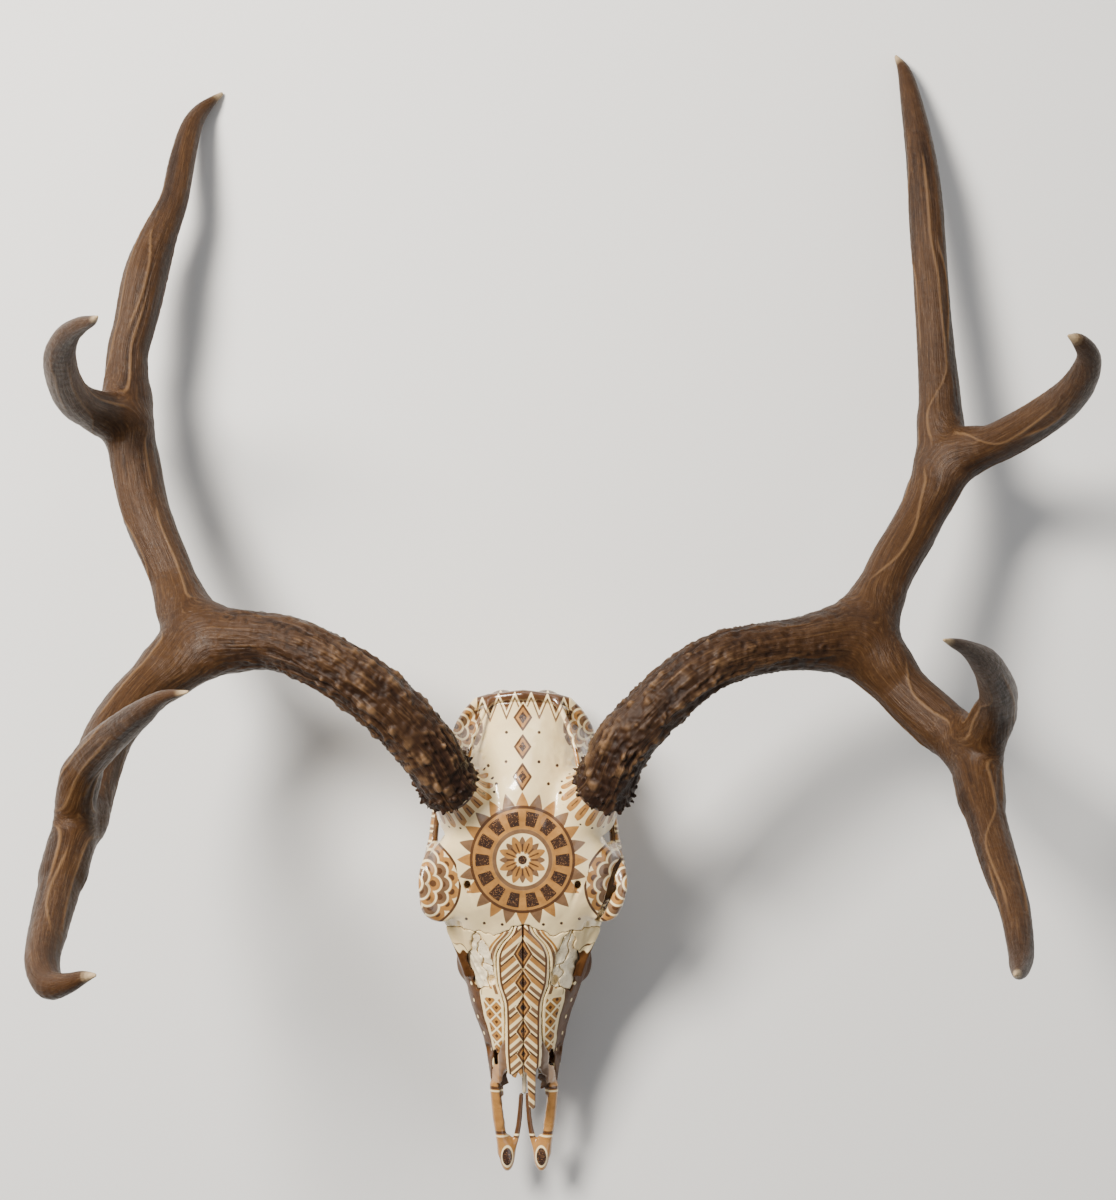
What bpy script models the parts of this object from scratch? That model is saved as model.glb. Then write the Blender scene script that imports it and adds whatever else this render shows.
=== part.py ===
"""Painted deer skull, life size, lying on its cheek teeth and on the tips of its two rear tines.

The bones are built in the skull's own frame in millimetres: +X is the animal's left,
+Y runs to the back of the head, +Z is up, y = 0 lies at the burrs of the antlers and
z = 0 is the ground. At the end everything is scaled to metres and moved so that the
origin is the bottom centre of the whole object.
"""
import math
import random

import bmesh
import bpy
from mathutils import Matrix, Vector

MM = 0.001
GAP = 0.3                      # clearance between two bones that touch
WELD = 0.01                    # corners nearer than this after a cut are one corner
CRUMB = 60.0                   # loose bits of a cut smaller than this volume are dropped

# Skull: sections of the cranium and face, from the nuchal crest to the front of the maxillae.
# Each is (y, half width, height of the widest point, top, bottom, power above, power below).
SKULL_SECTIONS = (
    (52, 15, 69, 80, 56, 2.2, 2.2),
    (48.5, 26.5, 62, 88, 38, 2.3, 2.4),
    (41, 34, 56, 95, 28, 2.2, 2.5),
    (30, 40.5, 52, 102, 24, 2.0, 2.4),
    (15, 40, 55, 110, 24, 2.0, 2.2),
    (0, 38, 62, 116, 26, 2.2, 2.0),
    (-15, 38, 74, 118, 30, 2.4, 1.9),
    (-28, 44, 88, 116, 34, 2.6, 1.8),
    (-38, 53, 93, 113, 36, 3.0, 1.7),
    (-50, 55, 90, 110, 36, 3.0, 1.8),
    (-62, 54, 86, 107, 34, 2.8, 1.9),
    (-74, 50, 78, 103, 28, 2.5, 2.0),
    (-84, 45, 68, 98, 22, 2.3, 2.2),
    (-95, 42, 58, 93.5, 18, 2.1, 2.4),
    (-108, 39.5, 50, 88.5, 16, 1.9, 2.6),
    (-120, 35.5, 46, 84, 15, 1.9, 2.6),
    (-134, 31, 44, 79, 16, 1.9, 2.6),
    (-148, 26.5, 43, 74, 18, 1.9, 2.4),
    (-164, 22.6, 42, 67, 21, 1.9, 2.3),
    (-180, 20.8, 39, 57, 23, 2.0, 2.2),
    (-195, 18.8, 36, 49, 25, 2.0, 2.2),
    (-210, 16.8, 34, 43, 27, 2.0, 2.0),
)
RING = 32                      # points round each section

# Orbits
ORBIT_CENTRE = (55.5, -60, 75)
ORBIT_RADII = (33, 21, 21.5)
RIM_RADIUS = 22.8
RIM_THICK = 2.9
RIM_LEAN = 7.0                 # degrees, the lower edge stands further out than the upper one
RIM_TURN = 8.0                 # degrees, the rims look a little forward
RIM_INSET = 2.3                # the whole rim stands this much nearer to the midline
RIM_BOW = 4.0                  # its front and rear edges bow inward by this, its top and bottom outward
RIM_SQUEEZE = 0.95             # its length from front to back as a part of its height

# Antlers, centre lines as (x, y, z, radius), right side of the photo = the animal's left.
LEFT_BURR = (46, 2, 121)
RIGHT_BURR = (-41.5, 2, 121)
BURR_AIM = (0.38, 0.50, 0.78)
BURR_RADIUS = 16.0
BEAD_COUNT = 13

LEFT_BEAM = ((60, 28, 134, 15.9), (91, 59, 138, 15.0), (114, 73, 134, 14.5),
             (138, 79, 127, 14.0), (168, 83, 118, 14.9), (196, 88, 108, 15.6))
LEFT_REAR = ((196, 88, 108, 15.6), (206, 108, 99, 14.0), (217, 128, 91, 13.2), (234, 155, 80, 13.3),
             (246, 182, 70, 13.6), (249, 220, 60, 12.9))
LEFT_LONG = ((249, 220, 60, 12.9), (248, 257, 52, 11.1), (246, 305, 43, 10.6), (244, 353, 34, 10.2),
             (242, 385, 25, 8.8), (238, 419, 14, 6.3), (235, 436, 8, 4.0), (231, 446, 2.0, 1.6))
LEFT_HOOK = ((246, 188, 70, 11.5), (263, 196, 78, 12.2), (277, 200, 92, 11.7), (294, 210, 118, 11.2),
             (306, 221, 150, 10.1), (310, 233, 178, 8.2), (308, 241, 195, 6.2), (300, 247, 209, 4.0),
             (293, 249, 216, 1.4))
LEFT_FRONT = ((196, 88, 108, 15.6), (218, 57, 118, 14.9), (237, 38, 130, 15.4), (252, 24, 145, 14.1))
LEFT_POINT = ((252, 24, 145, 14.1), (255, 4, 165, 11.4), (256, -16, 190, 10.1), (257, -35, 218, 9.6),
              (258, -52, 246, 8.1), (256, -69, 276, 6.8), (252, -75, 295, 5.5), (248, -76, 312, 3.5),
              (244, -75, 324, 1.4))
LEFT_UPPER = ((252, 24, 145, 12.0), (261, 40, 165, 11.1), (262, 54, 190, 10.6), (255, 68, 220, 9.6),
              (244, 79, 248, 7.5), (230, 85, 272, 4.3), (221, 87, 285, 2.6), (214, 88, 294, 1.3))

RIGHT_BEAM = ((-53, 28, 134, 16.7), (-77, 55, 140, 16.4), (-108, 74, 138, 15.8),
              (-136, 84, 131, 15.9), (-162, 85, 122, 16.0), (-184, 87, 112, 16.4))
RIGHT_REAR = ((-184, 87, 112, 16.4), (-196, 101, 102, 13.9), (-206, 124, 92, 12.9),
              (-222, 158, 80, 13.9), (-230, 187, 70, 14.3), (-236, 216, 63, 14.3))
RIGHT_LONG = ((-236, 216, 63, 14.3), (-238, 253, 56, 12.3), (-234, 274, 52, 12.3), (-229, 302, 47, 13.0),
              (-224, 321, 42, 11.8), (-218, 338, 38, 9.9), (-213, 353, 34, 8.5), (-210, 376, 26, 7.9),
              (-206, 398, 17, 6.7), (-201, 410, 10, 5.0), (-194, 418, 6, 2.8), (-189, 423, 2.0, 1.6))
RIGHT_HOOK = ((-236, 212, 66, 12.0), (-251, 219, 82, 11.8), (-259, 224, 105, 11.0), (-260, 233, 135, 9.9),
              (-256, 243, 165, 8.8), (-247, 251, 190, 6.8), (-236, 255, 210, 4.8), (-227, 256, 224, 2.9),
              (-222, 257, 234, 1.3))
RIGHT_FRONT = ((-184, 87, 112, 16.4), (-204, 70, 124, 15.4), (-221, 53, 140, 14.7), (-231, 33, 160, 13.9),
               (-234, 12, 185, 13.7), (-234, -7, 212, 13.0))
RIGHT_POINT = ((-234, -7, 212, 13.0), (-236, -25, 243, 11.5), (-236, -43, 272, 10.5), (-234, -59, 302, 9.5),
               (-231, -70, 326, 8.5), (-224, -77, 342, 7.2), (-214, -75, 352, 5.2), (-205, -71, 359, 3.3),
               (-198, -69, 364, 1.4))
RIGHT_UPPER = ((-234, -9, 216, 10.5), (-233, 3, 235, 9.2), (-225, 21, 252, 9.3), (-212, 34, 272, 9.2),
               (-198, 44, 294, 7.8), (-184, 53, 315, 6.2), (-171, 61, 333, 3.4), (-157, 64, 347, 1.3))

# Cheek teeth of one side, from the front: (x, y, breadth, length)
TEETH = ((21.5, -141, 9, 11.6), (23.5, -129, 11, 11.8), (25.4, -117.6, 12.4, 11),
         (27.2, -105, 14.4, 14), (28.4, -89.6, 16, 16.2), (28.4, -72.6, 15, 17.2))
CROWN = 13.7                   # top of the crowns' block; the jaw bone begins GAP above it


def fresh_start():
    for ob in list(bpy.data.objects):
        bpy.data.objects.remove(ob, do_unlink=True)


fresh_start()
PARTS = bpy.data.collections.new("painted_deer_skull")
CUTTERS = bpy.data.collections.new("cutters")
bpy.context.scene.collection.children.link(PARTS)
bpy.context.scene.collection.children.link(CUTTERS)


def as_object(name, mesh):
    ob = bpy.data.objects.new(name, mesh)
    PARTS.objects.link(ob)
    return ob


def from_bmesh(name, bm):
    bmesh.ops.remove_doubles(bm, verts=bm.verts, dist=0.0001)
    bmesh.ops.recalc_face_normals(bm, faces=bm.faces)
    mesh = bpy.data.meshes.new(name)
    bm.to_mesh(mesh)
    bm.free()
    return as_object(name, mesh)


def section_ring(section, inset=0.0):
    y, half, z_mid, z_top, z_low, above, below = section
    half -= inset
    ring = []
    for i in range(RING):
        a = 2 * math.pi * i / RING
        c, s = math.cos(a), math.sin(a)
        power = above if s >= 0 else below
        reach = (z_top - inset - z_mid) if s >= 0 else (z_mid - z_low - inset)
        x = half * math.copysign(abs(c) ** (2 / power), c)
        z = z_mid + reach * math.copysign(abs(s) ** (2 / power), s)
        ring.append(Vector((x, y, z)))
    return ring


def loft(name, rings):
    """Closed skin over a row of rings with the same number of points."""
    bm = bmesh.new()
    rows = [[bm.verts.new(p) for p in ring] for ring in rings]
    count = len(rows[0])
    for low, high in zip(rows, rows[1:]):
        for i in range(count):
            j = (i + 1) % count
            bm.faces.new((low[i], low[j], high[j], high[i]))
    bm.faces.new(rows[0])
    bm.faces.new(rows[-1])
    return from_bmesh(name, bm)


def tube(name, points, sides=4, steps=2):
    """A bevelled curve through (x, y, z, radius) points, as a closed mesh."""
    curve = bpy.data.curves.new(name, "CURVE")
    curve.dimensions = "3D"
    curve.bevel_depth = 1.0
    curve.bevel_resolution = sides
    curve.resolution_u = steps
    curve.use_fill_caps = True
    spline = curve.splines.new("BEZIER")
    spline.bezier_points.add(len(points) - 1)
    for knot, (x, y, z, r) in zip(spline.bezier_points, points):
        knot.co = (x, y, z)
        knot.radius = r
        knot.handle_left_type = "AUTO"
        knot.handle_right_type = "AUTO"
    source = bpy.data.objects.new(name + "_curve", curve)
    PARTS.objects.link(source)
    deps = bpy.context.evaluated_depsgraph_get()
    mesh = bpy.data.meshes.new_from_object(source.evaluated_get(deps))
    mesh.transform(source.matrix_world)
    bpy.data.objects.remove(source, do_unlink=True)
    bm = bmesh.new()
    bm.from_mesh(mesh)
    return from_bmesh(name, bm)


def ball(name, centre, radii, segments=20, rings=12):
    bm = bmesh.new()
    bmesh.ops.create_uvsphere(bm, u_segments=segments, v_segments=rings, radius=1.0)
    bmesh.ops.scale(bm, vec=radii, verts=bm.verts)
    bmesh.ops.translate(bm, vec=centre, verts=bm.verts)
    return from_bmesh(name, bm)


def bead(name, centre, radius):
    bm = bmesh.new()
    bmesh.ops.create_icosphere(bm, subdivisions=1, radius=radius)
    bmesh.ops.translate(bm, vec=centre, verts=bm.verts)
    return from_bmesh(name, bm)


def box(name, low, high):
    bm = bmesh.new()
    bmesh.ops.create_cube(bm, size=1.0)
    size = [b - a for a, b in zip(low, high)]
    centre = [(a + b) / 2 for a, b in zip(low, high)]
    bmesh.ops.scale(bm, vec=size, verts=bm.verts)
    bmesh.ops.translate(bm, vec=centre, verts=bm.verts)
    return from_bmesh(name, bm)


def rod(name, start, aim, length, radius_a, radius_b, sides=24):
    """A cylinder or cone that starts at a point and runs along a direction."""
    aim = Vector(aim).normalized()
    bm = bmesh.new()
    bmesh.ops.create_cone(bm, cap_ends=True, segments=sides, radius1=radius_a, radius2=radius_b, depth=length)
    turn = aim.to_track_quat("Z", "Y").to_matrix().to_4x4()
    place = Matrix.Translation(Vector(start) + aim * (length / 2)) @ turn
    bmesh.ops.transform(bm, matrix=place, verts=bm.verts)
    return from_bmesh(name, bm)


def torus(name, centre, radius, thick, lean, side):
    """A bowed ring round an orbit; its axis points sideways and leans by the given angle."""
    bpy.ops.mesh.primitive_torus_add(major_segments=24, minor_segments=8,
                                     major_radius=radius, minor_radius=thick)
    ob = bpy.context.object
    mesh = ob.data
    for vertex in mesh.vertices:
        x, y, z = vertex.co
        bow = RIM_BOW * (y * y - x * x) / (x * x + y * y)
        vertex.co = (x, y * RIM_SQUEEZE, z - RIM_INSET - bow)
    turn = (Matrix.Rotation(-side * math.radians(RIM_TURN), 4, "Z")
            @ Matrix.Rotation(side * math.radians(90 - lean), 4, "Y"))
    mesh.transform(Matrix.Translation((side * centre[0], centre[1], centre[2])) @ turn)
    bpy.data.objects.remove(ob, do_unlink=True)
    return as_object(name, mesh)


def prism(name, outline, low, high):
    """A plan outline of (x, y) points, raised between two heights."""
    bm = bmesh.new()
    floor = [bm.verts.new((x, y, low)) for x, y in outline]
    face = bm.faces.new(floor)
    raised = bmesh.ops.extrude_face_region(bm, geom=[face])
    top = [v for v in raised["geom"] if isinstance(v, bmesh.types.BMVert)]
    bmesh.ops.translate(bm, vec=(0, 0, high - low), verts=top)
    return from_bmesh(name, bm)


def sheet_across(name, profile, half_width):
    """A wall GAP thick, drawn in side view as (y, z) points and run across the skull."""
    bm = bmesh.new()
    near = [bm.verts.new((-half_width, y, z)) for y, z in profile]
    far = [bm.verts.new((half_width, y, z)) for y, z in profile]
    for i in range(len(profile) - 1):
        bm.faces.new((near[i], near[i + 1], far[i + 1], far[i]))
    ob = from_bmesh(name, bm)
    wall = ob.modifiers.new("thickness", "SOLIDIFY")
    wall.thickness = GAP
    wall.offset = 0.0
    return bake(ob)


def slab(name, centre, normal, half):
    """A flat round cutter GAP thick, square to a direction."""
    aim = Vector(normal).normalized()
    start = Vector(centre) - aim * (GAP / 2)
    return rod(name, start, aim, GAP, half, half, 16)


def bake(ob):
    """The object with its modifiers applied, under the same name."""
    deps = bpy.context.evaluated_depsgraph_get()
    mesh = bpy.data.meshes.new_from_object(ob.evaluated_get(deps))
    mesh.transform(ob.matrix_world)
    old = ob.name
    bpy.data.objects.remove(ob, do_unlink=True)
    return as_object(old, mesh)


def boolean(ob, others, operation):
    """Joins or cuts a body with a list of others, which are used up."""
    pool = bpy.data.collections.new("operands")
    bpy.context.scene.collection.children.link(pool)
    for other in others:
        for home in list(other.users_collection):
            home.objects.unlink(other)
        pool.objects.link(other)
    mod = ob.modifiers.new("boolean", "BOOLEAN")
    mod.operation = operation
    mod.solver = "EXACT"
    mod.operand_type = "COLLECTION"
    mod.collection = pool
    done = bake(ob)
    for other in others:
        bpy.data.objects.remove(other, do_unlink=True)
    bpy.data.collections.remove(pool)
    return tidy(done)


def tidy(ob):
    """Welds the corners that a cut leaves side by side and makes triangles of its many-sided faces."""
    bm = bmesh.new()
    bm.from_mesh(ob.data)
    bmesh.ops.remove_doubles(bm, verts=bm.verts, dist=WELD)
    bmesh.ops.dissolve_degenerate(bm, edges=bm.edges, dist=WELD)
    bmesh.ops.triangulate(bm, faces=[f for f in bm.faces if len(f.verts) > 4])
    bm.to_mesh(ob.data)
    bm.free()
    return ob


def unite(name, pieces):
    first = pieces[0]
    first.name = name
    return boolean(first, pieces[1:], "UNION")


def cut(ob, cutters):
    for cutter in cutters:
        ob = boolean(ob, [cutter], "DIFFERENCE")
    return ob


def shells(ob):
    """The closed surfaces of a mesh, as lists of faces, the largest first."""
    bm = bmesh.new()
    bm.from_mesh(ob.data)
    bm.verts.ensure_lookup_table()
    seen = set()
    found = []
    for face in bm.faces:
        if face in seen:
            continue
        stack = [face]
        seen.add(face)
        group = []
        while stack:
            f = stack.pop()
            group.append(f)
            for edge in f.edges:
                for g in edge.link_faces:
                    if g not in seen:
                        seen.add(g)
                        stack.append(g)
        points = [[v.co.copy() for v in f.verts] for f in group]
        found.append(points)
    bm.free()
    found.sort(key=len, reverse=True)
    return found


def volume(points):
    total = 0.0
    for face in points:
        for a, b in zip(face[1:], face[2:]):
            total += face[0].dot(a.cross(b)) / 6
    return abs(total)


def middle(points):
    corners = [p for face in points for p in face]
    return sum(corners, Vector()) / len(corners)


def part_of(name, points):
    """A body of its own from the faces of one closed surface."""
    bm = bmesh.new()
    verts = {}
    for face in points:
        row = []
        for p in face:
            key = (round(p.x, 4), round(p.y, 4), round(p.z, 4))
            if key not in verts:
                verts[key] = bm.verts.new(p)
            if verts[key] not in row:
                row.append(verts[key])
        if len(row) > 2:
            try:
                bm.faces.new(row)
            except ValueError:
                pass
    return from_bmesh(name, bm)


def split(ob, wanted):
    """Takes the loose pieces of a cut body; each wanted name goes to the piece nearest its point."""
    pieces = [(p, middle(p), volume(p)) for p in shells(ob)]
    pieces = [p for p in pieces if p[2] > CRUMB]
    made = {}
    for name, point in wanted.items():
        near = min(pieces, key=lambda item: (item[1] - Vector(point)).length)
        pieces = [p for p in pieces if p is not near]
        made[name] = part_of(name, near[0])
    bpy.data.objects.remove(ob, do_unlink=True)
    return made


def mirrored(points):
    return tuple((-p[0],) + tuple(p[1:]) for p in points)


def sided(points, side):
    return points if side > 0 else mirrored(points)


NODES = {}


# Zygomatic arches: jugal, lower orbit rim and the bar behind the orbit.
ARCH = ((36, -92, 40, 5.5), (42.5, -80, 44, 6.0), (52, -65, 48, 6.0), (55.6, -49, 50.5, 5.0),
        (54.4, -34, 51.5, 3.9), (52.6, -19, 50, 3.9), (48, -5, 49, 5.0), (39, 8, 50, 7))
BAR = ((48, -43, 97, 4.5), (51.5, -42.5, 84, 3.8), (53, -42.5, 68, 3.8), (54.5, -44, 55, 4.6))
RIM_SPLIT = 70                 # height where the jugal's part of the rim begins
ARCH_SPLIT = -2                # y where the arch meets the temporal bone


def orbit_frame(side, grow):
    """The arch, the bar behind the orbit and the orbit's rim in one, thicker by the given amount."""
    tag = "l" if side > 0 else "r"
    arch = tube("arch", [(x, y, z, r + grow) for x, y, z, r in sided(ARCH, side)], 3)
    bar = tube("bar", [(x, y, z, r + grow) for x, y, z, r in sided(BAR, side)], 2)
    rim = torus("rim", ORBIT_CENTRE, RIM_RADIUS, RIM_THICK + grow, RIM_LEAN, side)
    return unite("zygomatic_" + tag, [arch, bar, rim])


def zygomatic(side, grow):
    return cut(orbit_frame(side, grow), [box("above", (-90, -110, RIM_SPLIT + grow), (90, 20, 130)),
                                         box("behind", (-90, ARCH_SPLIT + grow, 20), (90, 60, 90))])


def rest_of_frame(side):
    """What the cranium keeps of the rim, the bar and the root of the arch."""
    jugal = box("jugal", (-90, -110, 20), (90, ARCH_SPLIT + 0.7 * GAP, RIM_SPLIT + 0.7 * GAP))
    return cut(orbit_frame(side, 0.0), [jugal])


for side, tag in ((1, "l"), (-1, "r")):
    NODES["zygomatic_" + tag] = zygomatic(side, 0.0)

# Cranium and face as one body first. Rods are (x, y, z, radius) on the animal's left side.
PAROCCIPITAL = ((30, 30, 34, 7), (29, 34, 20, 5), (28, 36, 6, 2.6))
EAR_DUCT = ((34, 14, 46, 6), (41, 17, 49, 5.2), (46, 20, 51, 4.4))
PTERYGOID = ((13, -62, 34, 6), (11, -42, 28, 4), (10, -22, 26, 3.4), (10, -8, 30, 4))
PEDICLE = 26                   # length of the pedicle below the burr
pieces = [loft("skull", [section_ring(s) for s in SKULL_SECTIONS])]
for side in (1, -1):
    pieces.append(rest_of_frame(side))
    pieces.append(ball("condyle", (side * 13, 45, 33), (11, 9, 10), 14, 8))
    pieces.append(ball("bulla", (side * 21, 17, 24), (8, 13, 9), 12, 8))
    pieces.append(tube("paroccipital", sided(PAROCCIPITAL, side), 2))
    pieces.append(tube("ear_duct", sided(EAR_DUCT, side), 2))
    pieces.append(tube("pterygoid", sided(PTERYGOID, side), 2))
    burr = LEFT_BURR if side > 0 else RIGHT_BURR
    aim = Vector((side * BURR_AIM[0], BURR_AIM[1], BURR_AIM[2])).normalized()
    foot = Vector(burr) - aim * PEDICLE
    pieces.append(rod("pedicle", foot, aim, PEDICLE, 20, 14.6))
crest = ((-40, 29, 64, 3), (-36, 37, 74, 3.2), (-26.5, 48, 83, 3.4), (-13, 51, 87, 3.2), (0, 52.3, 88.5, 3.6),
         (13, 51, 87, 3.2), (26.5, 48, 83, 3.4), (36, 37, 74, 3.2), (40, 29, 64, 3))
pieces.append(tube("nuchal_crest", crest, 2))
jaw = [(15.5, -149), (26, -149), (30.5, -128), (35.5, -104), (37, -84), (36.5, -62), (21, -62), (19.5, -104),
       (17.5, -128)]
for side in (1, -1):
    pieces.append(prism("alveolar", [(side * x, y) for x, y in jaw], CROWN + GAP, 34))
skull = unite("skull", pieces)

nasal_hole = loft("nasal_hole", [
    [Vector((-a, y, low)), Vector((a, y, low)), Vector((a, y, high)), Vector((-a, y, high))]
    for y, a, low, high in ((-118, 10, 40, 60), (-150, 15, 32, 62), (-163, 17.5, 30, 63), (-166, 18, 30, 90),
                            (-180, 16.2, 30, 90), (-195, 14.2, 30, 90), (-215, 12.0, 31, 90))])
slit = [(-16.1, -177), (16.1, -177), (14, -195), (11.8, -216), (-11.8, -216), (-14, -195)]
fissure = prism("fissure", slit, -5, 60)
cutters = [nasal_hole, fissure]
for side in (1, -1):
    eye = (side * ORBIT_CENTRE[0], ORBIT_CENTRE[1], ORBIT_CENTRE[2])
    cutters.append(ball("orbit", eye, ORBIT_RADII, 22, 12))
cutters.append(rod("foramen_magnum", (0, 70, 37), (0, -1, 0.05), 45, 10.5, 8.5))
cutters.append(ball("palate_vault", (0, -108, 10), (16.5, 62, 14)))
cutters.append(box("below_teeth_line", (-40, -152, -5), (40, -60, CROWN + GAP)))
for side in (1, -1):
    cutters.append(zygomatic(side, GAP))
skull = cut(skull, cutters)

# Nasal bones lie in a bed cut out of the face.
NASAL = ((-86, 5.5, 97.2), (-93, 13, 94.3), (-101, 16, 91), (-118, 15.3, 84.7), (-130, 11.3, 80.4),
         (-148, 11, 74), (-163, 11, 68.8))
NASAL_THICK = 5.0


def nasal_bone(side, front):
    rows = []
    for y, a, z in NASAL + front:
        b = 0.5 * GAP
        drop = 0.05 * a
        under = z - NASAL_THICK
        rows.append([Vector((side * b, y, z)), Vector((side * a * 0.55, y, z - drop)),
                     Vector((side * a, y, z - 4.2 * drop)), Vector((side * a, y, under - 3.2 * drop)),
                     Vector((side * b, y, under - 1.5))])
    return loft("nasal_" + ("l" if side > 0 else "r"), rows)


bed = loft("nasal_bed", [
    [Vector((-a, y, z - NASAL_THICK - 3)), Vector((a, y, z - NASAL_THICK - 3)), Vector((a, y, 125)),
     Vector((-a, y, 125))]
    for y, a, z in [(y, a + GAP, z) for y, a, z in ((-85.7, 5.5, 97.2),) + NASAL[1:] + ((-185, 11, 61),)]])
skull = cut(skull, [bed])
NODES["nasal_r"] = nasal_bone(-1, ((-175.5, 9.5, 64.5),))
left_nasal = nasal_bone(1, ((-172, 9.5, 65.6),))
SPIKE = ((-168, 7.6, 66.4), (-182, 7.4, 62.3), (-196, 6.0, 58.5))
spike = loft("spike", [
    [Vector((1.6, y, z)), Vector((x, y, z - 0.6)), Vector((x, y, z - 3.2)), Vector((1.6, y, z - 3.2))]
    for y, x, z in SPIKE])
NODES["nasal_l"] = unite("nasal_l", [left_nasal, spike])

# The gaps in front of the orbits are closed by thin plates of the nasal chamber's wall.
WINDOW = ((28, -86), (17.5, -100), (16.4, -119), (27.5, -124.5), (33.5, -105))
WINDOW_FLOOR = 60
for side, tag in ((1, "l"), (-1, "r")):
    inner = loft("plate", [section_ring(s, 1.6) for s in SKULL_SECTIONS[10:17]])
    mid = Vector((sum(p[0] for p in WINDOW) / 5, sum(p[1] for p in WINDOW) / 5))
    small = [mid + (Vector(p) - mid) * 0.965 for p in WINDOW]
    hold = prism("hold", [(side * p[0], p[1]) for p in small], WINDOW_FLOOR + GAP, 120)
    NODES["chamber_plate_" + tag] = boolean(inner, [hold], "INTERSECT")
    NODES["chamber_plate_" + tag].name = "chamber_plate_" + tag
    skull = cut(skull, [prism("window", [(side * x, y) for x, y in WINDOW], WINDOW_FLOOR, 120)])

# Cranium and face part at the suture that runs down in front of the orbits.
suture = sheet_across("suture", ((-86, 130), (-84, 74), (-80, 62), (-58, 44), (-58, 5)), 75)
skull = cut(skull, [suture])
halves = split(skull, {"cranium": (0, -5, 65), "face": (0, -130, 45)})
NODES["cranium"] = halves["cranium"]
face = cut(halves["face"], [box("midline", (-GAP / 2, -230, -10), (GAP / 2, -50, 130))])
sides = split(face, {"face_l": (20, -130, 45), "face_r": (-20, -130, 45)})
for side, tag in ((1, "l"), (-1, "r")):
    bulb = ball("bulb", (side * 10.4, -229, 32), (5.6, 11.3, 5.2), 12, 8)
    ramus = tube("ramus", sided(((17.8, -186, 44, 3.0), (16.2, -205, 38, 3.2), (14.2, -217, 35, 3.4),
                                 (12.5, -228, 33, 3.6)), side), 2)
    inner_rod = tube("palatine_rod", sided(((1.9, -193, 34, 1.5), (2.9, -207, 33, 1.7), (4.8, -219, 32, 1.9),
                                            (8.2, -229, 31.5, 2.2)), side), 2)
    whole = unite("side_" + tag, [sides["face_" + tag], bulb, ramus, inner_rod])
    oblique = sheet_across("oblique", ((-150, 71), (-206, 22)), 40)
    whole = cut(whole, [oblique])
    two = split(whole, {"maxilla_" + tag: (side * 22, -115, 40), "premaxilla_" + tag: (side * 14, -210, 40)})
    NODES.update(two)

NODES["vomer"] = tube("vomer", ((0, -146, 37.5, 2.6), (0, -165, 35, 2.6), (0, -190.5, 34, 2.2)), 2)

# Cheek teeth
chance = random.Random(7)
for side, tag in ((1, "l"), (-1, "r")):
    crowns = []
    for x, y, broad, long in TEETH:
        for lobe in (-1, 1):
            wear = chance.uniform(0.0, 0.5)
            corner = box("crown", (side * x - broad / 2, y - long / 4 - 0.4, 0.0),
                         (side * x + broad / 2, y + long / 4 + 0.4, CROWN))
            corner.data.transform(Matrix.Translation((0, lobe * long / 4, 0)))
            edge = corner.modifiers.new("edges", "BEVEL")
            edge.width = 1.6 + wear
            edge.segments = 1
            crowns.append(bake(corner))
    NODES["cheek_teeth_" + tag] = unite("cheek_teeth_" + tag, crowns)


# Antlers
def antler(side, burr, beam, rear, long_tine, hook, front, point, upper, cuts, names):
    aim = Vector((side * BURR_AIM[0], BURR_AIM[1], BURR_AIM[2])).normalized()
    start = Vector(burr) + aim * GAP
    disc = rod("burr", start, aim, 7.5, BURR_RADIUS - 1.5, BURR_RADIUS - 0.5)
    cross = aim.orthogonal().normalized()
    beads = []
    for i in range(BEAD_COUNT):
        spin = Matrix.Rotation(2 * math.pi * (i + chance.uniform(-0.15, 0.15)) / BEAD_COUNT, 3, aim)
        place = start + aim * 4.4 + (spin @ cross) * (BURR_RADIUS - 1.0)
        beads.append(bead("bead", place, chance.uniform(3.3, 4.0)))
    first = start + aim * 3
    second = start + aim * 7.5
    shaft = tube("beam", ((first.x, first.y, first.z, 15.0), (second.x, second.y, second.z, 15.0)) + beam, 4)
    lines = [tube("line", p, 4) for p in (rear, long_tine, hook, front, point, upper)]
    body = unite("antler", [shaft, disc] + beads + lines)
    body = cut(body, [slab("fork", c, n, r) for c, n, r in cuts])
    NODES.update(split(body, names))


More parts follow.
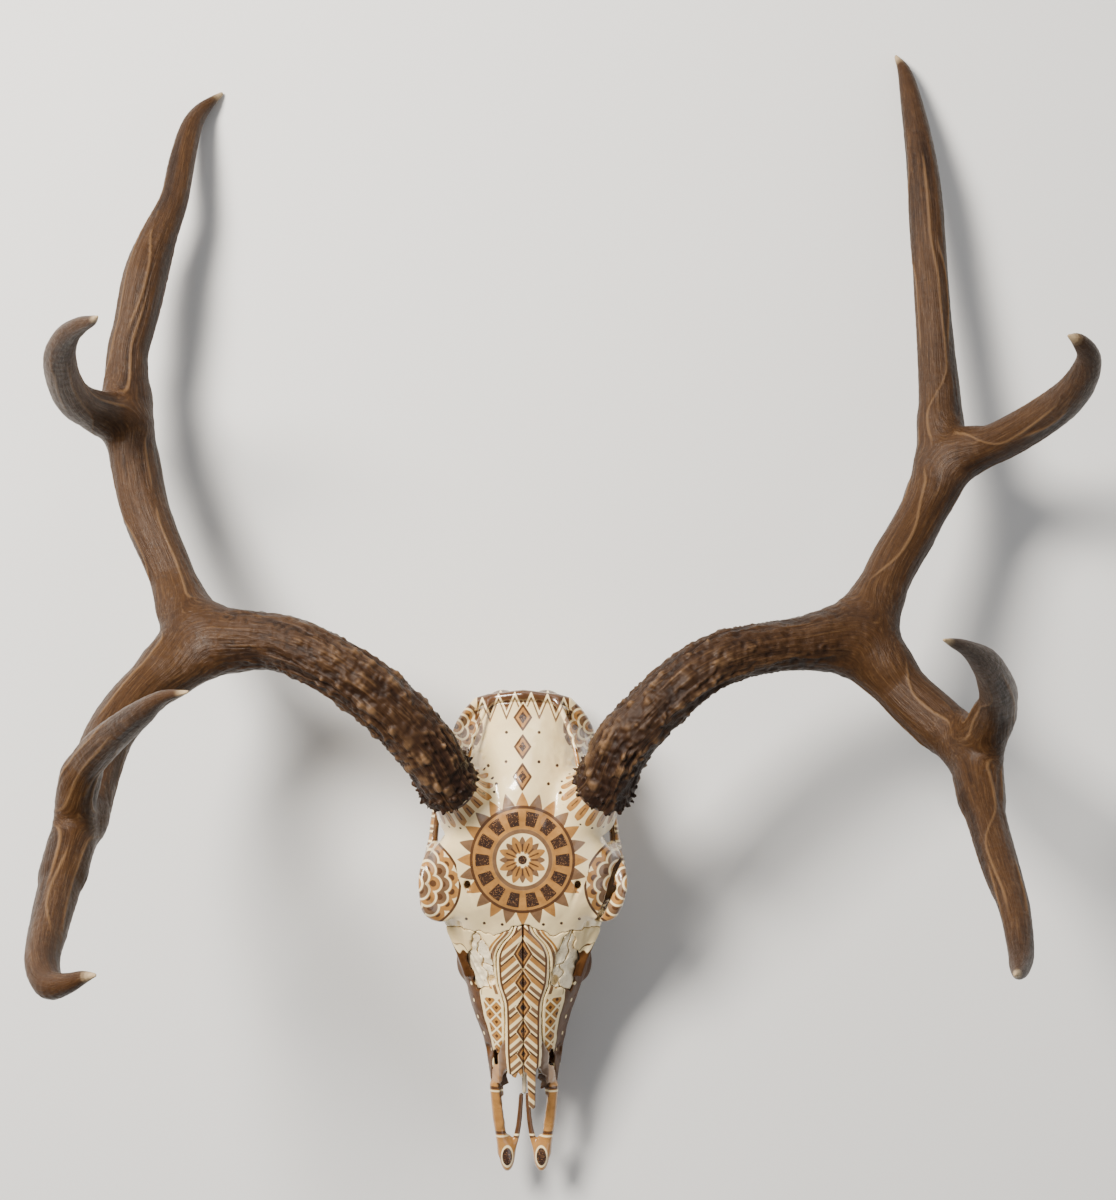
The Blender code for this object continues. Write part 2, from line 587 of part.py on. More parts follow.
antler(1, LEFT_BURR, LEFT_BEAM, LEFT_REAR, LEFT_LONG, LEFT_HOOK, LEFT_FRONT, LEFT_POINT, LEFT_UPPER,
       (((207, 110, 98), (0.45, 0.80, -0.38), 19),
        ((212, 66, 115), (0.62, -0.74, 0.28), 20),
        ((249, 214, 61.5), (0.05, 0.96, -0.25), 18),
        ((264.5, 196.5, 79), (0.72, 0.25, 0.62), 16),
        ((255, 8, 160), (0.1, -0.68, 0.72), 16),
        ((261, 40, 165), (0.25, 0.55, 0.80), 15)),
       {"beam_l": (120, 65, 130), "rear_branch_l": (235, 160, 80), "long_tine_l": (245, 320, 40),
        "hook_tine_l": (298, 215, 140), "front_branch_l": (235, 40, 132), "front_tine_l": (257, -45, 240),
        "upper_tine_l": (250, 72, 235)})
antler(-1, RIGHT_BURR, RIGHT_BEAM, RIGHT_REAR, RIGHT_LONG, RIGHT_HOOK, RIGHT_FRONT, RIGHT_POINT, RIGHT_UPPER,
       (((-199, 106, 99), (-0.4, 0.82, -0.38), 19),
        ((-204, 70, 124), (-0.70, -0.62, 0.42), 20),
        ((-237, 240, 58.5), (-0.05, 0.97, -0.2), 18),
        ((-254, 221, 90), (-0.4, 0.22, 0.88), 16),
        ((-236, -23, 240), (0.0, -0.5, 0.86), 15),
        ((-233, 5, 237), (0.2, 0.72, 0.62), 14)),
       {"beam_r": (-110, 65, 130), "rear_branch_r": (-222, 165, 78), "long_tine_r": (-222, 320, 40),
        "hook_tine_r": (-252, 240, 160), "front_branch_r": (-228, 30, 170), "front_tine_r": (-232, -55, 300),
        "upper_tine_r": (-205, 40, 285)})

# Materials: bone under paint, bare bone, tooth enamel and antler.
COLOURS = {
    "painted_bone": ((0.80, 0.72, 0.56, 1), 0.18),
    "bare_bone": ((0.78, 0.69, 0.52, 1), 0.55),
    "enamel": ((0.80, 0.76, 0.64, 1), 0.25),
    "antler_base": ((0.20, 0.12, 0.07, 1), 0.45),
    "antler_shaft": ((0.36, 0.25, 0.15, 1), 0.42),
    "antler_tine": ((0.52, 0.41, 0.27, 1), 0.38),
}
KIND = {"chamber_plate": "bare_bone", "vomer": "bare_bone", "cheek_teeth": "enamel", "beam": "antler_base",
        "rear_branch": "antler_shaft", "front_branch": "antler_shaft", "long_tine": "antler_tine",
        "hook_tine": "antler_tine", "front_tine": "antler_tine", "upper_tine": "antler_tine"}


def dress(name, ob):
    kind = "painted_bone"
    for start, look in KIND.items():
        if name.startswith(start):
            kind = look
    colour, rough = COLOURS[kind]
    mat = bpy.data.materials.new(name + "_" + kind)
    mat.use_nodes = True
    shader = mat.node_tree.nodes["Principled BSDF"]
    shader.inputs["Base Color"].default_value = colour
    shader.inputs["Roughness"].default_value = rough
    ob.data.materials.clear()
    ob.data.materials.append(mat)
    for face in ob.data.polygons:
        face.use_smooth = True


corners = [v.co for ob in NODES.values() for v in ob.data.vertices]
low = [min(c[i] for c in corners) for i in range(3)]
high = [max(c[i] for c in corners) for i in range(3)]
shift = Vector((-(low[0] + high[0]) / 2, -(low[1] + high[1]) / 2, -low[2]))
to_world = Matrix.Scale(MM, 4) @ Matrix.Translation(shift)
total = 0
for name, ob in NODES.items():
    ob.name = name
    ob.data.name = name
    ob.data.transform(to_world)
    dress(name, ob)
    ob.data.calc_loop_triangles()
    total += len(ob.data.loop_triangles)
print("nodes", len(NODES), "triangles", total, "shift_mm", [round(v, 2) for v in shift],
      "size_mm", [round(high[i] - low[i], 1) for i in range(3)])
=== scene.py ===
"""Looks of the painted deer skull: detailed bones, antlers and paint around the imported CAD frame.

The bones are shaped as distance fields in the skull's own frame in millimetres (+X the animal's
left, +Y to the back of the head, +Z up), turned into meshes, and moved onto the CAD.
"""

import math

import bpy
import numpy as np
import openvdb
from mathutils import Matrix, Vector, kdtree


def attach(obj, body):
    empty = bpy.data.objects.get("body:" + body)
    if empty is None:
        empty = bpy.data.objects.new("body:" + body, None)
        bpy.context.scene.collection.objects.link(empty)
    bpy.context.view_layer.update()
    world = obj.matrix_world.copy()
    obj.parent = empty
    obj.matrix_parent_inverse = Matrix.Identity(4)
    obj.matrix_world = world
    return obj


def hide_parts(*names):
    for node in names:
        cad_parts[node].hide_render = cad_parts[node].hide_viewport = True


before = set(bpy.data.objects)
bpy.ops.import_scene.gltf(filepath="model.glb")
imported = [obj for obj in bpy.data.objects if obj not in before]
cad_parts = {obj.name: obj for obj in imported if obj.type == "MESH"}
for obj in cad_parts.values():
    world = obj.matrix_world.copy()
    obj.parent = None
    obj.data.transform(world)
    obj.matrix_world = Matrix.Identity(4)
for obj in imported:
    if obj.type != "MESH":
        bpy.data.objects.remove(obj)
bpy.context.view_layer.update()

SHIFT = np.array((-23.61, -103.32, 0.0))      # skull frame to the part's frame, mm
BONE_STEP = 0.7             # mesh cell, mm
ANTLER_STEP = 0.85
TOOTH_STEP = 0.45

LEFT_BURR = (46, 2, 121)
RIGHT_BURR = (-41.5, 2, 121)
BURR_AIM = np.array((0.38, 0.50, 0.78))


# Camera and light
def make_camera():
    cam = bpy.data.cameras.new("camera")
    cam.lens = 72.2
    cam.sensor_width = 36.0
    cam.clip_end = 20.0
    ob = bpy.data.objects.new("camera", cam)
    ob.location = (-0.0031, 0.0047, 1.5)
    bpy.context.scene.collection.objects.link(ob)
    bpy.context.scene.camera = ob


def area_light(name, place, target, size, power, colour=(1.0, 1.0, 1.0)):
    light = bpy.data.lights.new(name, "AREA")
    light.shape = "RECTANGLE"
    light.size, light.size_y = size
    light.energy = power
    light.color = colour
    ob = bpy.data.objects.new(name, light)
    ob.location = place
    ob.rotation_euler = (Vector(target) - Vector(place)).to_track_quat("-Z", "Y").to_euler()
    bpy.context.scene.collection.objects.link(ob)


def make_stage():
    size = 12.0
    mesh = bpy.data.meshes.new("floor")
    mesh.from_pydata([(-size, -size, 0), (size, -size, 0), (size, size, 0), (-size, size, 0)], [], [(0, 1, 2, 3)])
    floor = bpy.data.objects.new("floor", mesh)
    bpy.context.scene.collection.objects.link(floor)
    mat = bpy.data.materials.new("floor_pale")
    mat.use_nodes = True
    shader = mat.node_tree.nodes["Principled BSDF"]
    shader.inputs["Base Color"].default_value = (0.74, 0.735, 0.725, 1)
    shader.inputs["Roughness"].default_value = 0.9
    shader.inputs["Specular IOR Level"].default_value = 0.15
    mesh.materials.append(mat)
    world = bpy.data.worlds.new("studio")
    bpy.context.scene.world = world
    world.use_nodes = True
    world.node_tree.nodes["Background"].inputs[0].default_value = (0.96, 0.97, 1.0, 1)
    world.node_tree.nodes["Background"].inputs[1].default_value = 0.20
    area_light("key", (-0.95, 0.75, 1.55), (0.0, 0.0, 0.05), (0.7, 0.55), 104, (1.0, 0.95, 0.875))
    area_light("fill", (1.3, -0.7, 1.3), (0.0, 0.0, 0.05), (1.4, 1.2), 7, (0.96, 0.98, 1.0))
    area_light("back", (0.3, 1.6, 1.1), (0.0, 0.0, 0.1), (1.2, 0.8), 8)


make_camera()
make_stage()


# Noise and field tools
def lattice(i, j, k, seed):
    n = (i * 73856093) ^ (j * 19349663) ^ (k * 83492791) ^ (seed * 2654435761)
    n = (n ^ (n >> 13)) * 1274126177
    n = n ^ (n >> 16)
    return (n & 0xFFFF).astype(np.float32) * (2.0 / 65535.0) - 1.0


def noise(x, y, z, seed=0):
    """Smooth value noise between -1 and 1."""
    fi, fj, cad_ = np.floor(x), np.floor(y), np.floor(z)
    u, v, w = x - fi, y - fj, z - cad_
    i, j, k = fi.astype(np.int64), fj.astype(np.int64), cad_.astype(np.int64)
    u = u * u * u * (u * (u * 6 - 15) + 10)
    v = v * v * v * (v * (v * 6 - 15) + 10)
    w = w * w * w * (w * (w * 6 - 15) + 10)
    total = 0.0
    for di, wi in ((0, 1 - u), (1, u)):
        for dj, wj in ((0, 1 - v), (1, v)):
            for dk, wk in ((0, 1 - w), (1, w)):
                total = total + wi * wj * wk * lattice(i + di, j + dj, k + dk, seed)
    return total


def smin(a, b, k):
    h = np.maximum(k - np.abs(a - b), 0) / k
    return np.minimum(a, b) - h * h * (k * 0.25)


def smax(a, b, k):
    h = np.maximum(k - np.abs(a - b), 0) / k
    return np.maximum(a, b) + h * h * (k * 0.25)


def bell(x, y, cx, cy, sx, sy):
    return np.exp(-((x - cx) / sx) ** 2 - ((y - cy) / sy) ** 2)


def step_up(x, a, b):
    t = np.clip((x - a) / (b - a), 0, 1)
    return t * t * (3 - 2 * t)


def ellipsoid(x, y, z, c, r):
    qx, qy, qz = (x - c[0]) / r[0], (y - c[1]) / r[1], (z - c[2]) / r[2]
    k0 = np.sqrt(qx * qx + qy * qy + qz * qz)
    k1 = np.sqrt((qx / r[0]) ** 2 + (qy / r[1]) ** 2 + (qz / r[2]) ** 2) + 1e-9
    return k0 * (k0 - 1) / k1


def spline(points, per=4):
    """Catmull-Rom through rows of numbers."""
    p = np.array(points, float)
    ext = np.vstack((2 * p[0] - p[1], p, 2 * p[-1] - p[-2]))
    out = []
    for a in range(len(p) - 1):
        p0, p1, p2, p3 = ext[a:a + 4]
        for t in np.arange(per) / per:
            out.append(0.5 * (2 * p1 + (p2 - p0) * t + (2 * p0 - 5 * p1 + 4 * p2 - p3) * t * t
                              + (3 * p1 - p0 - 3 * p2 + p3) * t ** 3))
    out.append(p[-1])
    return np.array(out)


FAR = 40.0


def chain(x, y, z, points, squash=(1, 1, 1), per=2):
    """Distance to a tapering bent rod through (x, y, z, radius); squash flattens its section."""
    rows = spline(points, per)
    reach = rows[:, 3].max() + 14
    low, high = rows[:, :3].min(0) - reach, rows[:, :3].max(0) + reach
    near = ((x > low[0]) & (x < high[0]) & (y > low[1]) & (y < high[1]) & (z > low[2]) & (z < high[2]))
    out = np.full(x.shape, FAR, np.float32)
    px, py, pz = x[near], y[near], z[near]
    best = np.full(px.shape, FAR, np.float32)
    for a, b in zip(rows, rows[1:]):
        e = b - a
        q = px - a[0], py - a[1], pz - a[2]
        t = np.clip((q[0] * e[0] + q[1] * e[1] + q[2] * e[2]) / (e[:3] @ e[:3]), 0, 1)
        d = np.sqrt(sum(((q[n] - t * e[n]) * squash[n]) ** 2 for n in range(3)))
        best = np.minimum(best, d - (a[3] + t * e[3]))
    out[near] = best
    return out


def inside_polygon(x, y, corners, soft=0.0):
    """Signed distance to a closed outline in plan."""
    pts = np.array(corners, float)
    best = np.full(x.shape, 1e9)
    sign = np.ones(x.shape)
    for a, b in zip(pts, np.roll(pts, -1, 0)):
        e = b - a
        qx, qy = x - a[0], y - a[1]
        t = np.clip((qx * e[0] + qy * e[1]) / (e @ e), 0, 1)
        best = np.minimum(best, (qx - t * e[0]) ** 2 + (qy - t * e[1]) ** 2)
        c1, c2, c3 = y >= a[1], y < b[1], e[0] * qy > e[1] * qx
        flip = (c1 & c2 & c3) | (~c1 & ~c2 & ~c3)
        sign = np.where(flip, -sign, sign)
    return sign * np.sqrt(best) - soft


def polygonise(field, low, high, step):
    """Points and quads of a field's surface, worked out only in blocks the surface passes through."""
    side = 8
    size = side * step
    count = [int(math.ceil((b - a) / size)) for a, b in zip(low, high)]
    ids = np.stack(np.meshgrid(*[np.arange(c) for c in count], indexing="ij"), -1).reshape(-1, 3)
    centres = np.array(low) + (ids + 0.5) * size - 0.5 * step
    d = field(*[centres[:, n].astype(np.float32) for n in range(3)])
    reach = size * 0.87 * 1.3 + 2.5 * step
    grid = openvdb.FloatGrid(3.0 * step)
    for i, j, k in ids[d <= -reach] * side:
        grid.fill(min=(int(i), int(j), int(k)), max=(int(i) + side - 1, int(j) + side - 1, int(k) + side - 1),
                  value=-3.0 * step, active=False)
    live = ids[np.abs(d) < reach]
    cell = np.arange(side) * step
    ox, oy, oz = [c.ravel() for c in np.meshgrid(cell, cell, cell, indexing="ij")]
    for start in range(0, len(live), 1500):
        part = live[start:start + 1500]
        base = np.array(low) + part * size
        x = (base[:, 0:1] + ox).astype(np.float32).ravel()
        y = (base[:, 1:2] + oy).astype(np.float32).ravel()
        z = (base[:, 2:3] + oz).astype(np.float32).ravel()
        values = field(x, y, z).astype(np.float32).reshape(-1, side, side, side)
        for (i, j, k), block in zip(part * side, values):
            grid.copyFromArray(np.ascontiguousarray(block), ijk=(int(i), int(j), int(k)))
    points, quads = grid.convertToQuads(0.0)
    points = np.array(low) + points * step
    corner = [points[quads[:, n]] for n in range(4)]
    volume = np.einsum("ij,ij->", corner[0], np.cross(corner[1] - corner[3], corner[2] - corner[0]))
    return points, quads if volume > 0 else quads[:, ::-1]


def clean_shells(points, quads, least=400):
    """Drops crumbs: connected groups of fewer faces than asked."""
    label = np.arange(len(points))
    while True:
        low = label[quads].min(1)
        new = label.copy()
        np.minimum.at(new, quads.ravel(), np.repeat(low, 4))
        new = new[new]
        if (new == label).all():
            break
        label = new
    root = label[quads[:, 0]]
    names, counts = np.unique(root, return_counts=True)
    keep = np.isin(root, names[counts >= least])
    quads = quads[keep]
    used = np.unique(quads)
    index = np.full(len(points), -1)
    index[used] = np.arange(len(used))
    return points[used], index[quads]


def normals_of(points, quads):
    d1 = points[quads[:, 2]] - points[quads[:, 0]]
    d2 = points[quads[:, 3]] - points[quads[:, 1]]
    face = np.cross(d1, d2)
    out = np.zeros_like(points)
    for c in range(4):
        np.add.at(out, quads[:, c], face)
    return out / (np.linalg.norm(out, axis=1, keepdims=True) + 1e-12)


def build_mesh(name, points, quads, layers, material, nodes):
    mesh = bpy.data.meshes.new(name)
    mesh.vertices.add(len(points))
    mesh.vertices.foreach_set("co", ((points + SHIFT) * 0.001).astype(np.float32).ravel())
    mesh.loops.add(quads.size)
    mesh.loops.foreach_set("vertex_index", quads.astype(np.int32).ravel())
    mesh.polygons.add(len(quads))
    mesh.polygons.foreach_set("loop_start", np.arange(0, quads.size, 4, dtype=np.int32))
    mesh.polygons.foreach_set("use_smooth", np.ones(len(quads), bool))
    mesh.update(calc_edges=True)
    mesh.validate()
    for key, values in layers.items():
        layer = mesh.attributes.new(key, "FLOAT", "POINT")
        layer.data.foreach_set("value", values.astype(np.float32))
    mesh.materials.append(material)
    ob = bpy.data.objects.new(name, mesh)
    bpy.context.scene.collection.objects.link(ob)
    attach(ob, "root")
    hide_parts(*nodes)
    return ob


# The skull's form
SECTIONS = np.array((
    (52, 15, 69, 80, 56, 2.2, 2.2), (48.5, 26.5, 62, 88, 38, 2.3, 2.4), (41, 34, 56, 95, 28, 2.2, 2.5),
    (30, 40.5, 52, 102, 24, 2.0, 2.4), (15, 40, 55, 110, 24, 2.0, 2.2), (0, 38, 62, 116, 26, 2.2, 2.0),
    (-15, 38, 74, 118, 30, 2.4, 1.9), (-28, 44, 88, 116, 34, 2.6, 1.8), (-38, 53, 93, 113, 36, 3.0, 1.7),
    (-50, 55, 90, 110, 36, 3.0, 1.8), (-62, 54, 86, 107, 34, 2.8, 1.9), (-74, 50, 78, 103, 28, 2.5, 2.0),
    (-84, 45, 68, 98, 22, 2.3, 2.2), (-95, 42, 58, 93.5, 18, 2.1, 2.4), (-108, 39.5, 50, 88.5, 16, 1.9, 2.6),
    (-120, 35.5, 46, 84, 15, 1.9, 2.6), (-134, 31, 44, 79, 16, 1.9, 2.6), (-148, 26.5, 43, 74, 18, 1.9, 2.4),
    (-164, 22.6, 42, 67, 21, 1.9, 2.3), (-180, 20.8, 39, 57, 23, 2.0, 2.2), (-195, 18.8, 36, 49, 25, 2.0, 2.2),
    (-210, 16.8, 34, 43, 27, 2.0, 2.0)))[::-1]
TABLE_Y = np.arange(-225, 66, 1.0)
KERNEL = np.exp(-0.5 * (np.arange(-8, 9) / 2.6) ** 2)
KERNEL /= KERNEL.sum()


def eased(column):
    line = np.interp(TABLE_Y, SECTIONS[:, 0], SECTIONS[:, column])
    return np.convolve(np.pad(line, 8, mode="edge"), KERNEL, "valid")


TABLE = [eased(n) for n in range(1, 7)]


def loft(ax, y, z):
    w, zm, zt, zb, na, nb = [np.interp(y, TABLE_Y, t).astype(np.float32) for t in TABLE]
    up = z >= zm
    h = np.where(up, zt - zm, zm - zb)
    n = np.where(up, na, nb)
    dz = np.abs(z - zm)
    r = ((ax / w) ** n + (dz / h) ** n + 1e-9) ** (1 / n)
    rho = np.sqrt(ax * ax + dz * dz)
    d = np.where(rho > 1.5, rho * (1 - 1 / np.maximum(r, 1e-3)), -np.minimum(w, h))
    d = np.clip(d, -40, 60)
    d = smax(d, y - 51.6, 7)
    return smax(d, -211 - y, 3)


ARCH = ((36, -92, 40, 5.5), (42.5, -80, 44, 6.0), (52, -65, 48, 6.0), (55.6, -49, 50.5, 5.0),
        (54.4, -34, 51.5, 3.9), (52.6, -19, 50, 3.9), (48, -5, 49, 5.0), (39, 8, 50, 7))
BAR = ((48, -43, 97, 4.5), (51.5, -42.5, 84, 3.8), (53, -42.5, 68, 3.8), (54.5, -44, 55, 4.6))
ORBIT = (55.5, -60.0, 75.0)
TURN, LEAN = math.radians(-8), math.radians(0.6)


def orbit_axes(ax, y, z):
    """Coordinates about an orbit: outward, backward and upward."""
    qx, qy, qz = ax - ORBIT[0], y - ORBIT[1], z - ORBIT[2]
    px = qx * math.cos(TURN) + qy * math.sin(TURN)
    py = -qx * math.sin(TURN) + qy * math.cos(TURN)
    out = px * math.cos(LEAN) + qz * math.sin(LEAN)
    up = -px * math.sin(LEAN) + qz * math.cos(LEAN)
    return out, py, up


def orbit_frame(ax, y, z):
    out, back, up = orbit_axes(ax, y, z)
    round_ = np.hypot(back / 0.95, up)
    angle = np.arctan2(up, back)
    bow = -1.75 - 4.55 * np.cos(2 * angle)
    rim = np.hypot(round_ - 22.8 - 0.5 * np.sin(3 * angle + 0.6), out - bow) - 2.8
    arch = chain(ax, y, z, ARCH, (1.35, 1.1, 0.95))
    bar = chain(ax, y, z, BAR, (1.25, 0.85, 1.0))
    return smin(smin(rim, arch, 4), bar, 5)


def pedicle(x, y, z):
    left = x > 0
    bx = np.where(left, LEFT_BURR[0], -RIGHT_BURR[0])
    aim = BURR_AIM / np.linalg.norm(BURR_AIM)
    qx, qy, qz = np.abs(x) - bx, y - 2.0, z - 121.0
    t = qx * aim[0] + qy * aim[1] + qz * aim[2]
    side = np.sqrt(np.maximum((qx - t * aim[0]) ** 2 + (qy - t * aim[1]) ** 2 + (qz - t * aim[2]) ** 2, 0))
    grown = 14.4 + 5.8 * np.clip(-t / 26, 0, 1.2) ** 1.6
    return smax(side - grown, np.abs(t + 14) - 14, 1.0)


CREST = ((0, 52.3, 88.5, 3.2), (13, 51, 87, 2.8), (26.5, 48, 83, 3.0), (36, 37, 74, 2.8), (40, 29, 64, 2.6),
         (42, 22, 56, 3.0))
TEETH = ((21.5, -141, 9, 11.6), (23.5, -129, 11, 11.8), (25.4, -117.6, 12.4, 11), (27.2, -105, 14.4, 14),
         (28.4, -89.6, 16, 16.2), (28.4, -72.6, 15, 17.2))
TOOTH_Y = np.array([t[1] for t in TEETH])


def aperture(ax, y, z, x):
    """The open nose: a tunnel under the nasal bones that opens upward and downward in front."""
    ragged = np.where(y < -160, 1.1 * noise(x * 0.25 + 31, y * 0.33, z * 0.3, 5), 0.0)
    a = np.interp(y, (-215, -195, -180, -166, -163, -150, -118), (12, 14.2, 16.2, 18, 17.5, 15, 10)) + 0.4 * ragged
    low = np.interp(y, (-215, -180.0, -176, -163, -150, -118), (-20, -20, 28, 29, 32, 40))
    top = np.interp(y, (-215, -174, -170, -163, -150, -118), (50, 50, 56, 59, 61, 60))
    hole = smax(ax - a, np.maximum(low - z, z - top), 3)
    hole = smax(hole, y + 120 - ragged, 5)
    mouth = np.interp(y, (-215, -196, -186, -178, -172), (12, 14.2, 14.0, 12.4, 9.0)) + ragged
    open_top = smax(ax - mouth, np.maximum(40 - z, y + 171.5 - 1.2 * ragged), 1.2)
    hole = np.minimum(hole, open_top)
    return smax(hole, -217 - y, 2)


SHREDS = (((14.8, -170), (7.6, -171), (8.6, -176.5), (8.0, -181), (10.4, -183), (9.6, -188), (12.4, -187),
           (12.9, -191), (17.5, -192), (18.5, -176)),
          ((18.5, -169), (11.2, -170), (9.2, -175), (10.4, -180), (9.0, -184), (12.8, -186), (12.2, -192),
           (17.5, -192)))


def split(x, y, z):
    """The narrow crack through the roof of the animal's left orbit."""
    gap = chain(x, y, z, ((59, -41.5, 92, 1.0), (54, -48.5, 92, 1.4), (51.4, -56, 92, 1.7), (50.2, -64, 92, 1.8),
                          (47, -72, 92, 1.7), (43.5, -79.5, 90, 1.2)), (1, 1, 0.08))
    return smax(gap + 0.4 * noise(x / 2.3, y / 2.3, z / 9, 6), 76 - z, 1)


def skull(x, y, z):
    """The whole skull without its teeth, nasal bones and vomer."""
    ax = np.abs(x)
    d = loft(ax, y, z)
    roof = step_up(z, 62, 84)
    relief = (2.2 * bell(ax, y, 0, -64, 17, 22) - 1.6 * bell(ax, y, 31, -20, 12, 12) + 1.4 * bell(ax, y, 17, -12, 7, 12)
              - 1.5 * bell(ax, y, 0, 4, 9, 20) + 1.6 * bell(ax, y, 27, 32, 9, 13) - 1.2 * bell(ax, y, 40, -70, 8, 9)
              + 1.5 * bell(ax, y, 22, -84, 6, 9))
    d = d + relief * roof
    d = d + 0.50 * noise(x / 13, y / 13, z / 13, 3) + 0.22 * noise(x / 5, y / 5, z / 5, 4)
    d = d + 0.05 * noise(x / 1.9, y / 1.9, z / 1.9, 7)
    rough = bell(ax, y, 36, 12, 20, 22) * np.clip(noise(x / 3.4, y / 3.4, z / 3.4, 8), 0, 1)
    d = d - 0.75 * rough
    d = smin(d, pedicle(x, y, z), 7)
    frame_d = orbit_frame(ax, y, z)
    d = smin(d, frame_d, 3.5)
    d = smin(d, ellipsoid(ax, y, z, (47, -60, 93.5), (12, 20, 4)), 4)
    out, back, up = orbit_axes(ax, y, z)
    wall = 1.1 * noise(out / 11, back / 9, up / 9, 17) * step_up(-out, 2, 12) + 0.3 * noise(out / 3.5, back / 3, up / 3, 18)
    d = smax(d, -ellipsoid(out, back, up, (1.5, 0, 0), (34, 20.2, 21.6)) - wall, 2.2)
    for deep, along, high, size in ((-30, 7, -3, 3.4), (-26, -9, -7, 2.2), (-24, 11, 9, 1.8)):
        d = smax(d, -ellipsoid(out, back, up, (deep, along, high), (9, size, size)), 1.4)
    d = smax(d, -split(x, y, z), 0.8)
    d = smin(d, chain(ax, y, z, ((45, -82, 79, 2.6), (41, -92, 74.5, 2.4), (36.6, -104, 72, 2.0), (34, -115, 67, 1.2))), 4)
    d = smax(d, -chain(ax, y, z, ((37.5, -81, 90, 1.3), (36.2, -92, 82.5, 2.3), (34.6, -105, 76, 2.2),
                                  (30, -121, 74, 1.2))), 1.6)
    d = smin(d, chain(ax, y, z, CREST, (1, 1, 1)), 3.5)
    d = smin(d, chain(ax, y, z, ((33, 8, 108, 1.5), (30, 24, 104, 1.4), (25, 38, 96, 1.5), (20, 48, 88, 1.8))), 4)
    d = smin(d, ellipsoid(ax, y, z, (13, 44.5, 33), (10.5, 9, 9.5)), 3)
    d = smin(d, ellipsoid(ax, y, z, (21, 17, 24), (8, 13, 9)), 2)
    d = smin(d, chain(ax, y, z, ((30, 30, 34, 7), (29, 34, 20, 4.6), (28, 36, 6.5, 2.2)), (0.9, 1.2, 1)), 4)
    d = smin(d, chain(ax, y, z, ((34, 14, 46, 6), (41, 17, 49, 5.2), (45.5, 20, 51, 4.4))), 2)
    d = smin(d, chain(ax, y, z, ((13, -62, 34, 6), (11, -42, 28, 3.6), (10, -22, 26, 3), (10, -8, 30, 4)),
                      (1.5, 1, 0.8)), 3)
    d = smax(d, -ellipsoid(ax, y, z, (0, -36, 27), (8.5, 26, 9)), 3)
    jaw = np.interp(y, (-149, -128, -104, -84, -62), (20.8, 24, 27.5, 28.4, 28.6))
    half = np.interp(y, (-149, -128, -104, -62), (4.6, 6.2, 7.9, 7.8))
    cusp = np.cos((y - np.interp(y, TOOTH_Y, TOOTH_Y)) * 0.0)
    root = np.abs(ax - jaw) - half - 0.5 * np.cos(y * (2 * math.pi / 7.6)) * step_up(26 - z, 0, 10) * cusp
    ends = np.maximum(y + 61.5, -149.5 - y)
    alveolar = smax(smax(root, ends, 8), np.maximum(13.9 - z, z - 36), 2.0)
    d = smin(d, alveolar, 5)
    d = smax(d, -ellipsoid(ax, y, z, (0, -108, 9), (17, 63, 15)), 3)
    d = smax(d, 13.9 - z - 60 * (step_up(y, -60, -56) + step_up(-y, 152, 156)), 0.6)
    d = smax(d, -ellipsoid(ax, y, z, (45.5, -97, 60), (6, 10, 8)), 5)
    d = smax(d, -ellipsoid(ax, y, z, (52.5, -84, 78), (6, 5, 15)), 4)
    d = d - 1.6 * bell(x, y, -57, -73, 8, 7) - 1.7 * bell(x, y, -27, -138, 10, 15)
    d = smin(d, ellipsoid(ax, y, z, (35.5, -112, 39), (5, 9, 6)), 6)
    d = smax(d, -ellipsoid(ax, y, z, (30.5, -139, 41), (5, 4.4, 2.6)), 1.5)
    d = smax(d, -ellipsoid(ax, y, z, (32, -57, 105.5), (1.9, 2.6, 8)), 1.2)
    groove = chain(ax, y, z, ((32, -59, 105.4, 1.1), (29, -68, 104.2, 1.0), (26.5, -78, 101, 0.7)))
    d = smax(d, -groove, 1.6)
    d = smax(d, -chain(ax, y, z, ((0, 64, 38, 10.5), (0, 34, 37, 9)), (1, 1, 1)), 2)
    d = smax(d, -aperture(ax, y, z, x), 1.4)
    for side, shred in ((1, SHREDS[0]), (-1, SHREDS[1])):
        plate = np.maximum(inside_polygon(x * side, y, shred), np.abs(z - 45 - 0.25 * (y + 180) + 0.2 * (ax - 15)) - 0.7)
        d = smin(d, plate, 1.0)
    notch = ellipsoid(ax, y, z, (22.5, -163.5, 55), (3.4, 5.2, 12))
    d = smax(d, -notch, 1.2)
    front = smin(ellipsoid(ax, y, z, (10.4, -229, 32), (4.8, 11.2, 4.8)),
                 chain(ax, y, z, ((17.8, -186, 44, 3.0), (16.2, -205, 38, 3.1), (14.2, -217, 35, 3.3),
                                  (12.5, -228, 33, 3.6))), 3)
    front = smin(front, chain(ax, y, z, ((1.9, -193, 34, 1.4), (2.9, -207, 33, 1.6), (4.8, -219, 32, 1.8),
                                         (8.2, -229, 31.5, 2.2))), 1.5)
    return smin(d, front, 2.5)


# Who owns which part of the skull
SEAM = 0.11                      # half of the visible suture, mm
WINDOW = ((28, -86), (17.5, -100), (16.4, -119), (27.5, -124.5), (33.5, -105))
NASAL = ((-86, 5.5, 97.2), (-93, 13, 94.3), (-101, 16, 91), (-118, 15.3, 84.7), (-130, 11.3, 80.4),
         (-148, 11, 74), (-163, 11, 68.8), (-176, 10, 64.4), (-200, 9, 57))
NASAL_Y = np.arange(-206, -78, 1.0)
NASAL_T = np.stack([NASAL_Y] + [np.convolve(np.pad(np.interp(NASAL_Y, *np.array(NASAL)[::-1, (0, c)].T), 8, mode="edge"),
                                            KERNEL, "valid") for c in (1, 2)], 1)


